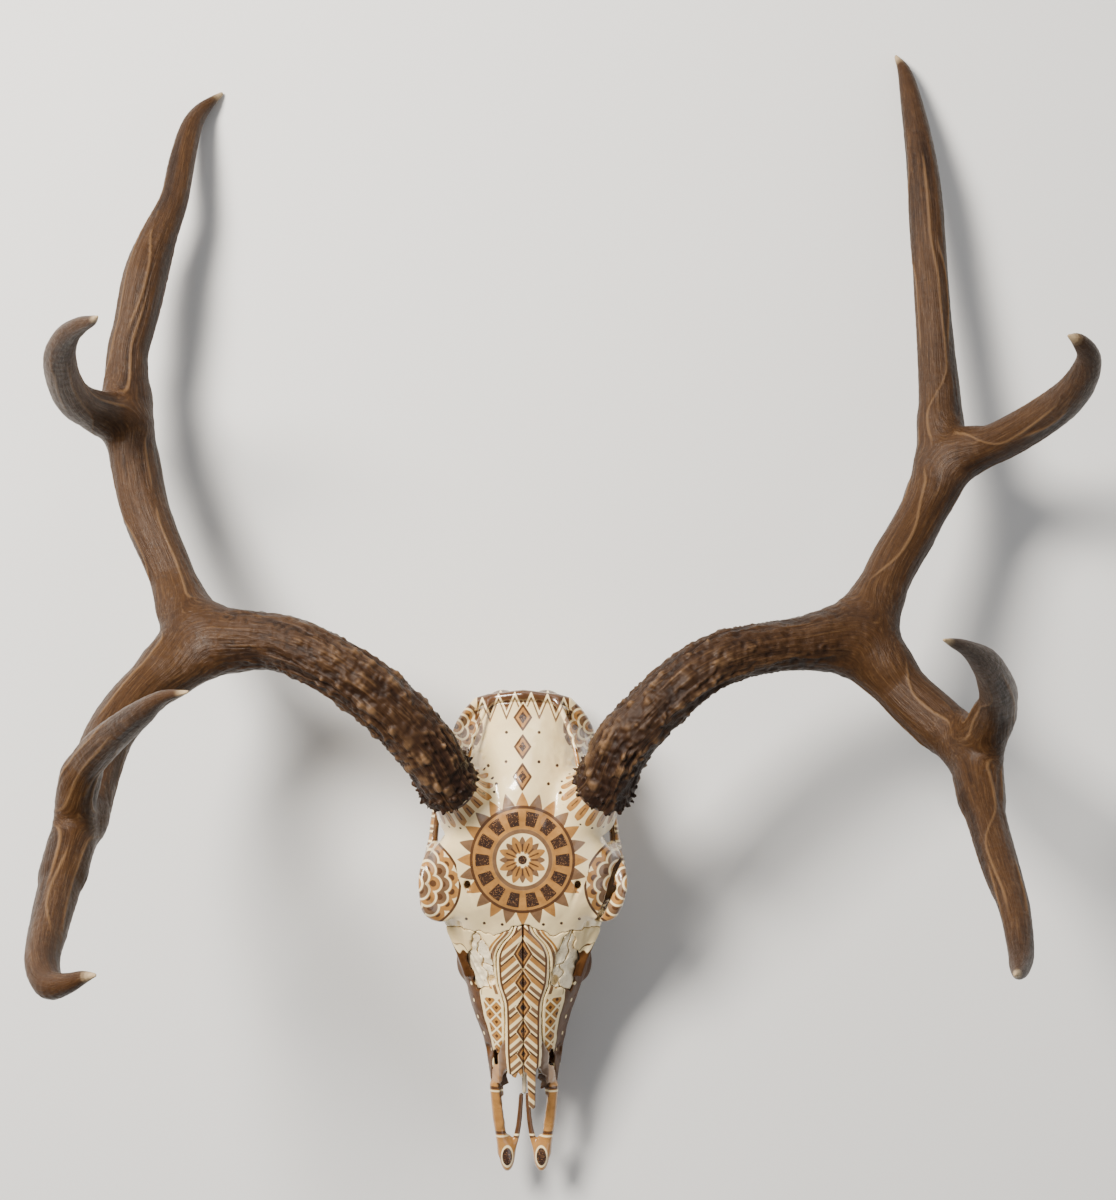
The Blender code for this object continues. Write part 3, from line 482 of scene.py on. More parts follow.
def wiggle(x, y, z, size=0.7, seed=9):
    return size * noise(x / 2.1, y / 2.1, z / 2.1, seed) + size * noise(x / 5.5, y / 5.5, z / 5.5, seed + 1)


def behind_suture(x, y, z):
    """Positive behind the suture between the cranium and the face."""
    ax = np.abs(x)
    line = np.interp(z, (5, 44, 62, 74, 130), (-58, -58, -80, -84, -86))
    line = line + (4.2 * np.exp(-(ax / 8.5) ** 2) - 2.4 * np.exp(-((ax - 17) / 6) ** 2)) * step_up(z, 80, 88)
    wave = 1.3 * noise(ax / 7, y / 30, z / 30, 11) + 1.2 * noise(x / 2.8, y / 6, z / 6, 12)
    return (y - line + wave + wiggle(x, y, z, 0.55)) * 0.8


def jugal_zone(x, y, z):
    """Negative where the zygomatic bone is."""
    zone = orbit_frame(np.abs(x), y, z) - 1.6
    wob = 0.5 * wiggle(x, y, z, 0.5, 15)
    return np.maximum(np.maximum(zone, z - 70 + wob), y + 2 + wob)


def nasal_zone(x, y, z):
    a = np.interp(y, NASAL_T[:, 0], NASAL_T[:, 1])
    low = np.interp(y, NASAL_T[:, 0], NASAL_T[:, 2]) - 8
    zone = np.maximum(np.abs(x) - a + 0.5 * wiggle(x, y, z, 0.4, 21), low - z)
    return np.maximum(zone, y + 78)


def window_zone(x, y, z):
    zone = inside_polygon(np.abs(x), y, WINDOW) + 1.5 * noise(x / 6, y / 6, z / 6, 28) + 0.5 * wiggle(x, y, z, 0.6, 27)
    return np.maximum(zone, 60 - z)


def front_zone(x, y, z):
    """Positive in front of the suture between the maxilla and the premaxilla."""
    return ((z - 71) * 56 + (-150 - y) * 49) / math.hypot(56, 49) + 0.4 * wiggle(x, y, z, 0.5, 33)


def cranium_field(x, y, z):
    d = smax(skull(x, y, z), SEAM - behind_suture(x, y, z), 0.3)
    return smax(d, SEAM - jugal_zone(x, y, z), 0.4)


def zygomatic_field(side):
    def field(x, y, z):
        d = smax(skull(x, y, z), jugal_zone(x, y, z) + SEAM, 0.5)
        return np.maximum(d, -side * x + 20)
    return field


def maxilla_field(side):
    def field(x, y, z):
        d = smax(skull(x, y, z), behind_suture(x, y, z) + SEAM, 0.3)
        d = smax(d, SEAM - jugal_zone(x, y, z), 0.5)
        d = smax(d, SEAM - nasal_zone(x, y, z), 0.5)
        d = smax(d, SEAM - window_zone(x, y, z), 0.9)
        d = smax(d, front_zone(x, y, z) + SEAM, 0.5)
        return np.maximum(d, -side * x + 0.08)
    return field


def premaxilla_field(side):
    def field(x, y, z):
        d = smax(skull(x, y, z), SEAM - front_zone(x, y, z), 0.5)
        return np.maximum(d, -side * x + 0.08)
    return field


def plate_field(side):
    def field(x, y, z):
        ax = np.abs(x)
        flake = np.abs(noise((x + 0.5 * y) / 4.5, (y - 0.4 * x) / 11, z / 9, 41))
        d = loft(ax, y, z) + 1.0 + 1.5 * flake + 0.35 * noise(x / 1.9, y / 2.6, z / 2, 42)
        d = d + 0.9 * bell(ax, y, 32, -104, 3, 20)
        crack = np.abs(ax - 24 - 2.2 * noise(y / 4.5, x * 0 + side, z * 0, 43) - 0.16 * (y + 104)) - 0.34
        branch = np.abs(y + 106 - 2.2 * noise(x / 4, x * 0 + side, z * 0, 44) - 0.5 * (ax - 24)) - 0.30
        crack = np.minimum(crack, np.maximum(branch, ax - 24))
        d = smax(d, -np.maximum(crack, -d - 1.8), 0.4)
        hole = ellipsoid(ax, y, z, (18.6, -117, 80), (2.6, 3.6, 9))
        d = smax(d, -hole, 0.8)
        d = np.maximum(d, window_zone(x, y, z) + 0.12)
        return np.maximum(np.maximum(d, 61 - z), -side * x)
    return field


def nasal_field(side):
    def field(x, y, z):
        ax = np.abs(x)
        a = np.interp(y, NASAL_T[:, 0], NASAL_T[:, 1]) - 0.25
        zc = np.interp(y, NASAL_T[:, 0], NASAL_T[:, 2])
        t = np.clip(ax / a, 0, 1.3)
        top = zc + 0.4 - 0.23 * a * t ** 2.3 - 0.8 * np.exp(-(ax / 1.6) ** 2)
        top = top + 0.14 * noise(x / 4, y / 7, z * 0, 51)
        thick = np.interp(y, (-200, -176, -160, -86), (2.4, 3.2, 4.6, 6))
        d = smax(z - top, top - thick - z, 0.8)
        rag = 1.3 * noise(x / 1.6, z * 0 + side, z * 0, 52) + 0.8 * noise(x / 0.7, z * 0, z * 0 + side, 53)
        if side > 0:
            front = np.where(ax > 7.6, -172.2, -173.4) + rag
            spike = np.maximum(np.maximum(np.abs(ax - 4.6 + 0.02 * (y + 173)) - np.interp(y, (-197, -173), (1.9, 2.9)),
                                          -196.2 + 0.8 * rag - y), y + 160)
            end = np.minimum(front - y, spike)
        else:
            end = -175.6 + 1.2 * rag - y
        d = smax(d, end, 0.7)
        d = smax(d, ax - a + 0.5 * wiggle(x, y, z, 0.4, 21), 0.9)
        d = smax(d, behind_suture(x, y, z) + SEAM, 0.6)
        return smax(d, -side * x + 0.13, 0.6)
    return field


def vomer_field(x, y, z):
    d = chain(x, y, z, ((0, -146, 37.5, 2.6), (0, -165, 35, 2.6), (0, -190.5, 34, 2.1)), (1.6, 1, 0.8))
    return d + 0.2 * noise(x / 3, y / 3, z / 3, 61)


def teeth_field(side):
    def field(x, y, z):
        ax = x * side
        best = np.full(x.shape, FAR, np.float32)
        for number, (tx, ty, broad, long) in enumerate(TEETH):
            near = np.abs(y - ty) < long / 2 + 8
            px, py, pz = ax[near] - tx, y[near] - ty, z[near]
            cut = np.full(px.shape, FAR, np.float32)
            lobes = (-1, 1) if number > 1 else (0,)
            for lobe in lobes:
                cy = py - lobe * long / 4.1
                ly = long / (4.0 if len(lobes) == 2 else 2.1)
                taper = 1 - 0.08 * (13.7 - pz) / 13.7
                body = ((np.abs(px) / (broad / 2 * taper)) ** 2.6 + (np.abs(cy) / (ly * taper)) ** 2.6 + 1e-6) ** (1 / 2.6)
                lobe_d = (body - 1) * min(broad / 2, ly)
                rib = np.hypot(px - broad * 0.46, cy) - 1.5
                lobe_d = smin(lobe_d, rib, 1.2)
                crescent = np.abs(np.hypot(px * 1.0, cy * 1.5) - broad * 0.24) - 0.55
                worn = np.maximum(crescent, pz - 1.5)
                lobe_d = smax(lobe_d, -worn, 0.5)
                cut = smin(cut, lobe_d, 0.9)
            crown = smax(cut, np.maximum(0.05 + 0.5 * np.abs(px + 0.6 * broad / 2) / broad - pz, pz - 13.6), 1.2)
            here = best[near]
            best[near] = smin(here, crown, 0.5)
        neck = smax(np.hypot((ax - np.interp(y, TOOTH_Y, [t[0] for t in TEETH])) * 1.0, 0) - 3.6,
                    np.maximum(np.maximum(9 - z, z - 13.5), np.maximum(y + 66, -146 - y)), 1)
        return smin(best, neck, 0.8)
    return field


# Paint
CHAIN = ((39.5, 5.6, 8.0), (23, 5.2, 7.4), (6.2, 5.6, 8.2))
NOSE_CHAIN = ((-99, 5.4, 9.4), (-117, 4.8, 7.4), (-132.5, 4.4, 7.0), (-147.5, 4.2, 6.8), (-162, 3.8, 6.4))
WHEEL = (0.0, -42.0)
WHEEL_REACH = 38.4


def lozenge(x, y, cy, a, b):
    """Signed distance to a lozenge on the midline."""
    return (np.abs(x) / a + np.abs(y - cy) / b - 1) * a * b / math.hypot(a, b)


def bars(v, middle, width):
    """Signed distance to stripes that repeat every unit of v, given as parts of a unit."""
    return np.abs((v - middle + 0.5) % 1 - 0.5) - width / 2


class Layers:
    """Signed distances (mm) to each colour's motifs, negative inside."""

    def __init__(self, count):
        self.of = {key: np.full(count, 50.0) for key in ("taupe", "ochre", "brown", "cream", "dark")}

    def add(self, key, d):
        self.of[key] = np.minimum(self.of[key], d)

    def clear(self, d):
        for key in self.of:
            self.of[key] = np.maximum(self.of[key], -d)


def scale_fan(lay, px, py, cx, cy, pitch, rows, limit, line=0.62):
    """Overlapping round scales in rows about a centre, the inner rows on top."""
    cover = np.full(px.shape, 50.0)
    for row in range(rows):
        r = row * pitch
        count = max(1, int(round(2 * math.pi * r / (pitch * 1.5))))
        step = 2 * math.pi / count
        angle = np.arctan2(py - cy, px - cx)
        nearest = (np.round(angle / step - 0.5 * (row % 2)) + 0.5 * (row % 2)) * step
        gap = np.hypot(px - cx - r * np.cos(nearest), py - cy - r * np.sin(nearest))
        disc = gap - pitch * 1.02
        seen = np.maximum(np.maximum(disc, -cover), limit)
        lay.add("ochre" if row % 2 == 0 else "taupe", seen)
        lay.add("brown", np.maximum(gap - pitch * 0.36, np.maximum(-cover + 0.5, limit)))
        lay.add("cream", np.maximum(np.abs(disc + line) - line, np.maximum(-cover, limit)))
        cover = np.minimum(cover, disc)


def wheel(lay, x, y):
    """Sun wheel on the forehead: rays, a band with dark inlays, petals and a centre."""
    dx, dy = x - WHEEL[0], (y - WHEEL[1]) * 0.95
    r = np.hypot(dx, dy)
    turn = np.arctan2(dx, dy) / (2 * math.pi)
    lay.clear(r - WHEEL_REACH)
    ray = np.abs((turn * 24) % 1 - 0.5) * 2
    point = (r - 30.0) / 8.0
    spike = np.maximum((point - ray) * 3.6, 29.4 - r)
    even = np.floor(turn * 24 + 0.5) % 2 == 0
    lay.add("ochre", np.where(even, spike, 3.0))
    lay.add("taupe", np.where(even, 3.0, spike))
    lay.add("brown", np.abs(r - 29.6) - 0.85)
    lay.add("ochre", np.maximum(r - 28.8, 17.4 - r))
    arc = 2 * math.pi * r / 14
    block = bars(turn * 14, 0.5, 0.62) * arc
    lay.add("dark", np.maximum(np.maximum(r - 27.3, 19.2 - r), block))
    lay.add("taupe", np.abs(r - 16.2) - 1.25)
    for turned, tone, half, near, far in ((0.5, "taupe", 2.0, 4.0, 13.4), (0.0, "ochre", 2.5, 3.4, 14.4)):
        leaf_side = np.abs((turn * 8 + turned) % 1 - 0.5) * 2 * math.pi * r / 8
        profile = np.sin(np.clip((r - near) / (far - near), 0, 1) * math.pi) ** 0.8
        leaf = np.where((r > near) & (r < far), leaf_side - half * profile, 3.0)
        lay.add(tone, leaf)
        lay.add("brown", np.maximum(leaf_side - 0.45, np.maximum(r - far + 4.2, near + 1.2 - r)))
    lay.add("dark", r - 2.6)


def pedicle_place(x, y, z):
    """Distance down from the burr over the bone, turn about the pedicle and distance from its axis."""
    aim = BURR_AIM / np.linalg.norm(BURR_AIM)
    cross = np.cross(aim, (0.0, 0.0, 1.0))
    cross /= np.linalg.norm(cross)
    other = np.cross(aim, cross)
    q = np.stack((np.abs(x) - np.where(x > 0, LEFT_BURR[0], -RIGHT_BURR[0]), y - 2.0, z - 121.0), 1)
    t = q @ aim
    around = np.sqrt(np.maximum((q * q).sum(1) - t * t, 0))
    turn = np.arctan2(q @ cross, q @ other) / (2 * math.pi)
    return np.maximum(-t, 0) * 0.85 + np.maximum(around - 14.5, 0) * 0.8, turn, around


def paint_cranium(lay, x, y, z, n):
    ax = np.abs(x)
    away = (0.18 - n[:, 2]) * 9
    from_burr, turn, around = pedicle_place(x, y, z)
    tooth = np.abs((turn * 15) % 1 - 0.5) * 2
    wide = (around + 4) * math.pi / 15
    lift = np.clip((from_burr - 4.0) / 15.0, 0, 1)
    drop = tooth * wide - wide * 0.9 * np.sqrt(np.clip(1 - lift ** 2.6, 0, 1)) * (0.55 + 0.45 * lift ** 0.7)
    near = np.maximum(from_burr - 19.0, 3.4 - from_burr)
    lay.add("ochre", np.maximum(drop, near))
    lay.add("brown", np.maximum(tooth * wide - 0.5, np.maximum(from_burr - 13.5, 6.0 - from_burr)))
    lay.add("brown", np.abs(from_burr - 2.9) - 0.8)
    lay.add("dark", np.hypot((1 - tooth) * wide, from_burr - 19.5) - 0.95)
    scale_fan(lay, ax, y, 63.5, -57, 5.6, 5, np.maximum(np.maximum(np.hypot(ax - 63.5, y + 57) - 26.5, away), -y - 86))
    lay.add("brown", np.maximum(np.abs(np.hypot(ax - 63.5, y + 57) - 27.2) - 0.75, away))
    scale_fan(lay, ax, y, 40, 33, 4.7, 4, np.maximum(np.hypot(ax - 40, y - 33) - 16.5, away))
    edge = np.interp(ax, (0, 13, 26, 34), (50.0, 49.0, 46.0, 38.5))
    tri = np.abs((x / 9.6) % 1 - 0.5) * 2
    dent = (edge - 11.5 * tri - y) * 0.4
    lay.add("taupe", np.maximum(np.maximum(dent, ax - 27), away))
    lay.add("cream", np.maximum(np.maximum(np.abs(dent + 1.5) - 0.55, ax - 27), away))
    lay.add("brown", np.maximum((edge - 4.2 * tri - y) * 0.8, np.maximum(ax - 27, away)))
    for cy, a, b in CHAIN:
        d = lozenge(x, y, cy, a, b)
        lay.clear(d - 0.7)
        lay.add("brown", d)
        lay.add("ochre", d)
        lay.of["brown"] = np.where(d < 0, np.abs(d + 0.6) - 0.6, lay.of["brown"])
        lay.add("dark", d + 2.5)
    wheel(lay, x, y)
    for dot_x, dot_y in ((9.5, 31), (9.5, 14.5), (15, 2), (20, 12), (22, -3), (33, -78), (12, -81), (22.5, -80.5)):
        lay.add("dark", np.maximum(np.hypot(ax - dot_x, y - dot_y) - 0.95, away))


def paint_nose(lay, x, y, z, n, nasal):
    ax = np.abs(x)
    edge = np.interp(y, NASAL_T[:, 0], NASAL_T[:, 1])
    if nasal:
        v = (y + 0.95 * ax) / 12.4
        side = ax - edge + 2.4
        lay.add("ochre", np.maximum(bars(v, 0.14, 0.28) * 9, side))
        lay.add("brown", np.maximum(bars(v, 0.345, 0.13) * 9, side))
        lay.add("taupe", np.maximum(bars(v, 0.66, 0.24) * 9, side))
        lay.add("brown", np.abs(side - 0.2) - 0.62)
        lay.add("brown", ax - 0.75)
        for cy, a, b in NOSE_CHAIN:
            d = lozenge(x, y, cy, a, b)
            lay.clear(d - 0.5)
            lay.add("ochre", d)
            lay.of["brown"] = np.where(d < 0.4, np.abs(d + 0.5) - 0.62, lay.of["brown"])
            lay.add("dark", d + 2.0)
        return
    top = np.interp(y, TABLE_Y, TABLE[2])
    drop = top - z
    flank = np.interp(y, (-165, -130, -110, -95, -88), (9.5, 11, 12, 17, 34)) - drop
    off = ax - edge
    away = (0.05 - n[:, 2]) * 9
    lay.add("taupe", np.maximum(np.abs(off - 2.6) - 1.0, np.maximum(away, -y - 125)))
    lay.add("ochre", np.maximum(np.abs(off - 5.2) - 0.8, np.maximum(away, -y - 122)))
    lay.add("brown", np.maximum(flank, np.minimum(y + 84, z - 46)))
    zig = np.abs((y / 10.5) % 1 - 0.5) * 2
    lay.add("cream", np.abs(flank + 0.9) - 0.5)
    lay.add("ochre", np.abs((flank + 11.5 + 4.5 * zig) * 0.75) - 0.7)
    beads = np.hypot((y / 10.5 % 1 - 0.5) * 10.5, flank + 9.2) - 1.15
    lay.add("cream", beads)
    lay.add("taupe", np.abs(flank + 21) - 1.2)
    # Lattice of lozenges between the nasal bone and the flank.
    net = np.maximum(np.maximum(y + 127, -flank), np.maximum(1.2 - off, -164.5 - y))
    u, v = (y + 1.15 * ax) / 9.2, (y - 1.15 * ax) / 9.2
    lay.clear(net)
    lay.add("taupe", net)
    iu, iv = np.abs(u % 1 - 0.5), np.abs(v % 1 - 0.5)
    strip = np.minimum(0.5 - iu, 0.5 - iv) * 6.2
    lay.add("ochre", np.maximum(net, np.abs(strip - 1.5) - 0.7))
    lay.add("cream", np.maximum(strip - 0.55, net))
    lay.add("brown", np.maximum(np.maximum(iu, iv) * 6.2 - 0.9, net + 0.4))
    lay.add("cream", np.abs(net) - 0.55)


def paint_front(lay, x, y, z, n):
    ax = np.abs(x)
    rods = ax - np.interp(y, (-240, -223, -219, -193), (-9, -9, 7.6, 6.2))
    shred = np.maximum(ax - 15.0, -192.5 - y)
    lay.add("brown", rods)
    lay.add("taupe", np.maximum(shred, -rods))
    lay.add("ochre", np.maximum(-rods, -shred))
    lay.add("brown", np.abs(y + 215.5) - 0.95)
    lay.add("cream", np.abs(y + 217.8) - 0.6)
    lay.add("brown", np.abs(y + 186.5) - 0.95)
    lay.add("cream", np.abs(y + 188.6) - 0.6)
    lay.add("taupe", np.maximum(176 + y, -175) * 0 + (-173 - y) * -1)
    bead = (np.hypot((ax - 10.4) / 3.0, (y + 230.5) / 5.6) - 1) * 3.0
    bead = np.maximum(bead, -n[:, 2] * 6)
    lay.add("dark", bead)
    lay.add("cream", np.maximum(np.abs(bead - 0.2) - 0.55, -n[:, 2] * 6))


def paint(x, y, z, n, kind):
    lay = Layers(len(x))
    if kind == "cranium":
        paint_cranium(lay, x, y, z, n)
    elif kind in ("nasal", "maxilla"):
        paint_nose(lay, x, y, z, n, kind == "nasal")
    elif kind == "premaxilla":
        paint_front(lay, x, y, z, n)
    elif kind == "zygomatic":
        v = y / 9.0
        # The arch's inner side below the rim is painted plain dark brown. This is painted shade, so the orbit looks
        # dark through the crack above it.
        inward = (0.2 - n[:, 0] * np.sign(x)) * 6
        lay.add("brown", np.maximum(-inward, z - 66))
        low = np.maximum(z - 66, inward)
        lay.add("ochre", np.maximum(bars(v, 0.2, 0.4) * 9, low))
        lay.add("brown", np.maximum(bars(v, 0.45, 0.1) * 9, low))
        lay.add("taupe", np.maximum(bars(v, 0.75, 0.2) * 9, low))
    return {key: np.clip(value, -3, 3) for key, value in lay.of.items()}


# Materials
class Graph:
    """Small helper for building node trees."""

    def __init__(self, name):
        self.mat = bpy.data.materials.new(name)
        self.mat.use_nodes = True
        self.tree = self.mat.node_tree
        self.shader = self.tree.nodes["Principled BSDF"]

    def node(self, kind, **settings):
        made = self.tree.nodes.new(kind)
        for key, value in settings.items():
            setattr(made, key, value)
        return made

    def put(self, socket, value):
        if isinstance(value, bpy.types.NodeSocket):
            self.tree.links.new(value, socket)
        else:
            socket.default_value = value

    def attribute(self, name):
        return self.node("ShaderNodeAttribute", attribute_name=name, attribute_type="GEOMETRY").outputs["Fac"]

    def math(self, op, a, b=0.0, clamp=False):
        made = self.node("ShaderNodeMath", operation=op, use_clamp=clamp)
        self.put(made.inputs[0], a)
        self.put(made.inputs[1], b)
        return made.outputs[0]

    def ramp(self, value, a, b, c=0.0, d=1.0, smooth=True):
        made = self.node("ShaderNodeMapRange", interpolation_type="SMOOTHSTEP" if smooth else "LINEAR")
        for index, item in enumerate((value, a, b, c, d)):
            self.put(made.inputs[index], item)
        return made.outputs[0]

    def mix(self, factor, a, b, blend="MIX"):
        made = self.node("ShaderNodeMix", data_type="RGBA", blend_type=blend)
        self.put(made.inputs[0], factor)
        self.put(made.inputs[6], a)
        self.put(made.inputs[7], b)
        return made.outputs[2]

    def object_coords(self, scale=(1, 1, 1)):
        coords = self.node("ShaderNodeTexCoord")
        mapping = self.node("ShaderNodeMapping")
        self.put(mapping.inputs["Vector"], coords.outputs["Object"])
        mapping.inputs["Scale"].default_value = scale
        return mapping.outputs[0]

    def noise(self, vector, scale, detail=3.0, rough=0.55, distortion=0.0):
        made = self.node("ShaderNodeTexNoise")
        self.put(made.inputs["Vector"], vector)
        made.inputs["Scale"].default_value = scale
        made.inputs["Detail"].default_value = detail
        made.inputs["Roughness"].default_value = rough
        made.inputs["Distortion"].default_value = distortion
        return made.outputs[0]

    def voronoi(self, vector, scale, feature="F1"):
        made = self.node("ShaderNodeTexVoronoi", feature=feature)
        self.put(made.inputs["Vector"], vector)
        made.inputs["Scale"].default_value = scale
        return made

    def bump(self, height, strength, distance, normal=None):
        made = self.node("ShaderNodeBump")
        made.inputs["Strength"].default_value = strength
        made.inputs["Distance"].default_value = distance
        self.put(made.inputs["Height"], height)
        if normal is not None:
            self.put(made.inputs["Normal"], normal)
        return made.outputs[0]


IVORY = (0.93, 0.735, 0.40, 1)
OCHRE = (0.43, 0.205, 0.052, 1)
BROWN = (0.105, 0.043, 0.013, 1)
TAUPE = (0.21, 0.113, 0.054, 1)
CREAM = (0.94, 0.77, 0.46, 1)
INLAY = (0.030, 0.014, 0.008, 1)
COPPER = (0.62, 0.30, 0.12, 1)
BARE = (0.97, 0.84, 0.58, 1)


def painted_bone(name, gloss):
    g = Graph(name)
    pos = g.object_coords()
    mottled = g.noise(pos, 55, 4)
    colour = g.mix(g.ramp(mottled, 0.35, 0.75), IVORY, (0.81, 0.61, 0.32, 1))
    wash = g.noise(pos, 210, 3)
    edge = 0.16
    for key, tone, deep in (("taupe", TAUPE, (0.155, 0.083, 0.039, 1)), ("ochre", OCHRE, (0.33, 0.15, 0.038, 1)),
                            ("brown", BROWN, (0.070, 0.028, 0.009, 1)), ("cream", CREAM, IVORY),
                            ("dark", INLAY, (0.05, 0.022, 0.01, 1))):
        mask = g.ramp(g.attribute(key), edge, -edge)
        colour = g.mix(mask, colour, g.mix(g.ramp(wash, 0.3, 0.7), tone, deep))
    dark = g.ramp(g.attribute("dark"), edge, -edge)
    flakes = g.voronoi(pos, 1500)
    fleck = g.ramp(flakes.outputs["Distance"], 0.42, 0.20)
    some = g.ramp(g.noise(pos, 700, 1), 0.44, 0.56)
    glitter = g.math("MULTIPLY", g.math("MULTIPLY", fleck, some), dark)
    colour = g.mix(glitter, colour, COPPER)
    # Darkens along the sutures, which is the joints' own colour, and down the walls of the crack over the orbit, which
    # is painted shade.
    seam_and_crack_shade = g.ramp(g.attribute("seam_and_crack_shade"), 0.0, 0.35, 0.30, 0.0)
    colour = g.mix(seam_and_crack_shade, colour, (0.20, 0.11, 0.05, 1))
    # Deep in holes and hollows the colour turns dark brown: partly the unpainted bone inside, partly painted shade that
    # deepens with depth.
    raw_bone_and_depth_shade = g.mix(g.ramp(mottled, 0.3, 0.7), (0.46, 0.32, 0.17, 1), (0.25, 0.155, 0.075, 1))
    colour = g.mix(g.attribute("inner"), colour, raw_bone_and_depth_shade)
    g.put(g.shader.inputs["Base Color"], colour)
    g.put(g.shader.inputs["Metallic"], g.math("MULTIPLY", glitter, 0.8))
    g.put(g.shader.inputs["Roughness"], g.ramp(mottled, 0.3, 0.8, 0.26, 0.42))
    g.shader.inputs["Coat Weight"].default_value = 0.9 * gloss
    g.shader.inputs["Coat Roughness"].default_value = 0.07
    g.shader.inputs["Specular IOR Level"].default_value = 0.42 * gloss
    fine = g.bump(g.noise(pos, 420, 4), 0.10, 0.0006)
    paint_edge = g.math("MAXIMUM", dark, g.ramp(g.attribute("brown"), edge, -edge))
    lifted = g.bump(paint_edge, 0.18, 0.0003, fine)
    g.put(g.shader.inputs["Normal"], lifted)
    soft = g.bump(g.noise(pos, 150, 2), 0.12, 0.0012)
    g.put(g.shader.inputs["Coat Normal"], soft)
    return g.mat


def bare_bone():
    g = Graph("bare_bone")
    pos = g.object_coords()
    tone = g.noise(pos, 130, 5)
    colour = g.mix(g.ramp(tone, 0.35, 0.8), BARE, (0.80, 0.63, 0.38, 1))
    pores = g.noise(pos, 700, 3)
    colour = g.mix(g.ramp(pores, 0.62, 0.74), colour, (0.30, 0.20, 0.10, 1))
    g.put(g.shader.inputs["Base Color"], colour)
    g.put(g.shader.inputs["Roughness"], g.ramp(tone, 0.3, 0.7, 0.45, 0.65))
    g.shader.inputs["Coat Weight"].default_value = 0.35
    g.shader.inputs["Coat Roughness"].default_value = 0.25
    g.put(g.shader.inputs["Normal"], g.bump(g.noise(pos, 480, 5), 0.5, 0.0007))
    return g.mat


def enamel():
    g = Graph("enamel")
    pos = g.object_coords((1, 1, 0.35))
    streak = g.noise(pos, 600, 4)
    colour = g.mix(g.ramp(streak, 0.3, 0.7), (0.74, 0.68, 0.52, 1), (0.50, 0.38, 0.22, 1))
    colour = g.mix(g.ramp(g.attribute("neck"), 0.0, 1.0), colour, (0.26, 0.16, 0.08, 1))
    g.put(g.shader.inputs["Base Color"], colour)
    g.shader.inputs["Roughness"].default_value = 0.3
    g.shader.inputs["Coat Weight"].default_value = 0.5
    g.shader.inputs["Coat Roughness"].default_value = 0.15
    g.put(g.shader.inputs["Normal"], g.bump(g.noise(pos, 900, 3), 0.25, 0.0004))
    return g.mat


def antler_material():
    g = Graph("antler")
    grain = g.node("ShaderNodeCombineXYZ")
    for index, key in enumerate(("round_x", "round_y", "along")):
        g.put(grain.inputs[index], g.attribute(key))
    vec = grain.outputs[0]
    pos = g.object_coords()
    tone = g.attribute("tone")
    relief = g.attribute("relief")
    tip = g.attribute("tip")
    long_grain = g.node("ShaderNodeMapping")
    g.put(long_grain.inputs["Vector"], vec)
    long_grain.inputs["Scale"].default_value = (1.0, 1.0, 0.4)
    fibre = long_grain.outputs[0]
    base = g.mix(g.ramp(tone, 0.0, 0.16), (0.022, 0.010, 0.006, 1), (0.032, 0.0145, 0.0063, 1))
    base = g.mix(g.ramp(tone, 0.14, 0.52), base, (0.050, 0.0220, 0.0075, 1))
    patch = g.noise(pos, 30, 3)
    base = g.mix(g.ramp(patch, 0.40, 0.68, 0.0, 0.5), base, (0.034, 0.0148, 0.0056, 1))
    streak = g.noise(fibre, 3.6, 5, 0.6, 0.2)
    base = g.mix(g.ramp(streak, 0.32, 0.52, 0.42, 0.0), base, (0.020, 0.0085, 0.0034, 1))
    fine = g.noise(fibre, 8.0, 4, 0.65)
    base = g.mix(g.ramp(fine, 0.50, 0.68, 0.0, 0.45), base, (0.118, 0.064, 0.028, 1))
    base = g.mix(g.ramp(fine, 0.34, 0.48, 0.45, 0.0), base, (0.018, 0.0076, 0.003, 1))
    speck = g.noise(pos, 420, 3)
    base = g.mix(g.ramp(speck, 0.52, 0.70, 0.0, 0.4), base, (0.020, 0.0085, 0.0035, 1))
    crown = g.ramp(relief, 0.5, 2.6, 0.0, 0.62)
    base = g.mix(crown, base, (0.20, 0.112, 0.053, 1))
    # Darker where the relief sinks. This is partly the stain real antlers keep in their grooves and partly painted
    # shade in the grooves.
    base = g.mix(g.ramp(relief, 0.15, -0.55, 0.0, 0.75), base, (0.010, 0.004, 0.002, 1))
    base = g.mix(g.ramp(g.attribute("vein"), 0.2, 0.9, 0.0, 0.45), base, (0.19, 0.108, 0.050, 1))
    base = g.mix(g.ramp(tip, 0.45, 0.86, 0.0, 0.35), base, (0.040, 0.0175, 0.0065, 1))
    base = g.mix(g.ramp(tip, 0.90, 0.99, 0.0, 0.85), base, (0.46, 0.34, 0.20, 1))
    g.put(g.shader.inputs["Base Color"], base)
    g.put(g.shader.inputs["Roughness"], g.ramp(fine, 0.3, 0.7, 0.50, 0.34))
    g.shader.inputs["Specular IOR Level"].default_value = 0.16
    first = g.bump(g.noise(fibre, 8.0, 5, 0.65), 0.75, 0.0009)
    second = g.bump(g.noise(pos, 1000, 3), 0.22, 0.0003, first)
    g.put(g.shader.inputs["Normal"], second)
    return g.mat


MATERIALS = {"painted_bone": painted_bone("painted_bone", 1.0), "flank": painted_bone("painted_flank", 0.14),
             "bare_bone": bare_bone(), "enamel": enamel(), "antler": antler_material()}


# Bones
def seam_depth(points):
    """How far a point lies from the nearest suture, mm (for the dark line in it)."""
    x, y, z = points.T
    d = np.minimum(np.abs(behind_suture(x, y, z)), np.abs(jugal_zone(x, y, z)))
    d = np.minimum(d, np.abs(front_zone(x, y, z)))
    d = np.minimum(d, np.abs(nasal_zone(x, y, z)))
    return np.clip(d, 0, 3)


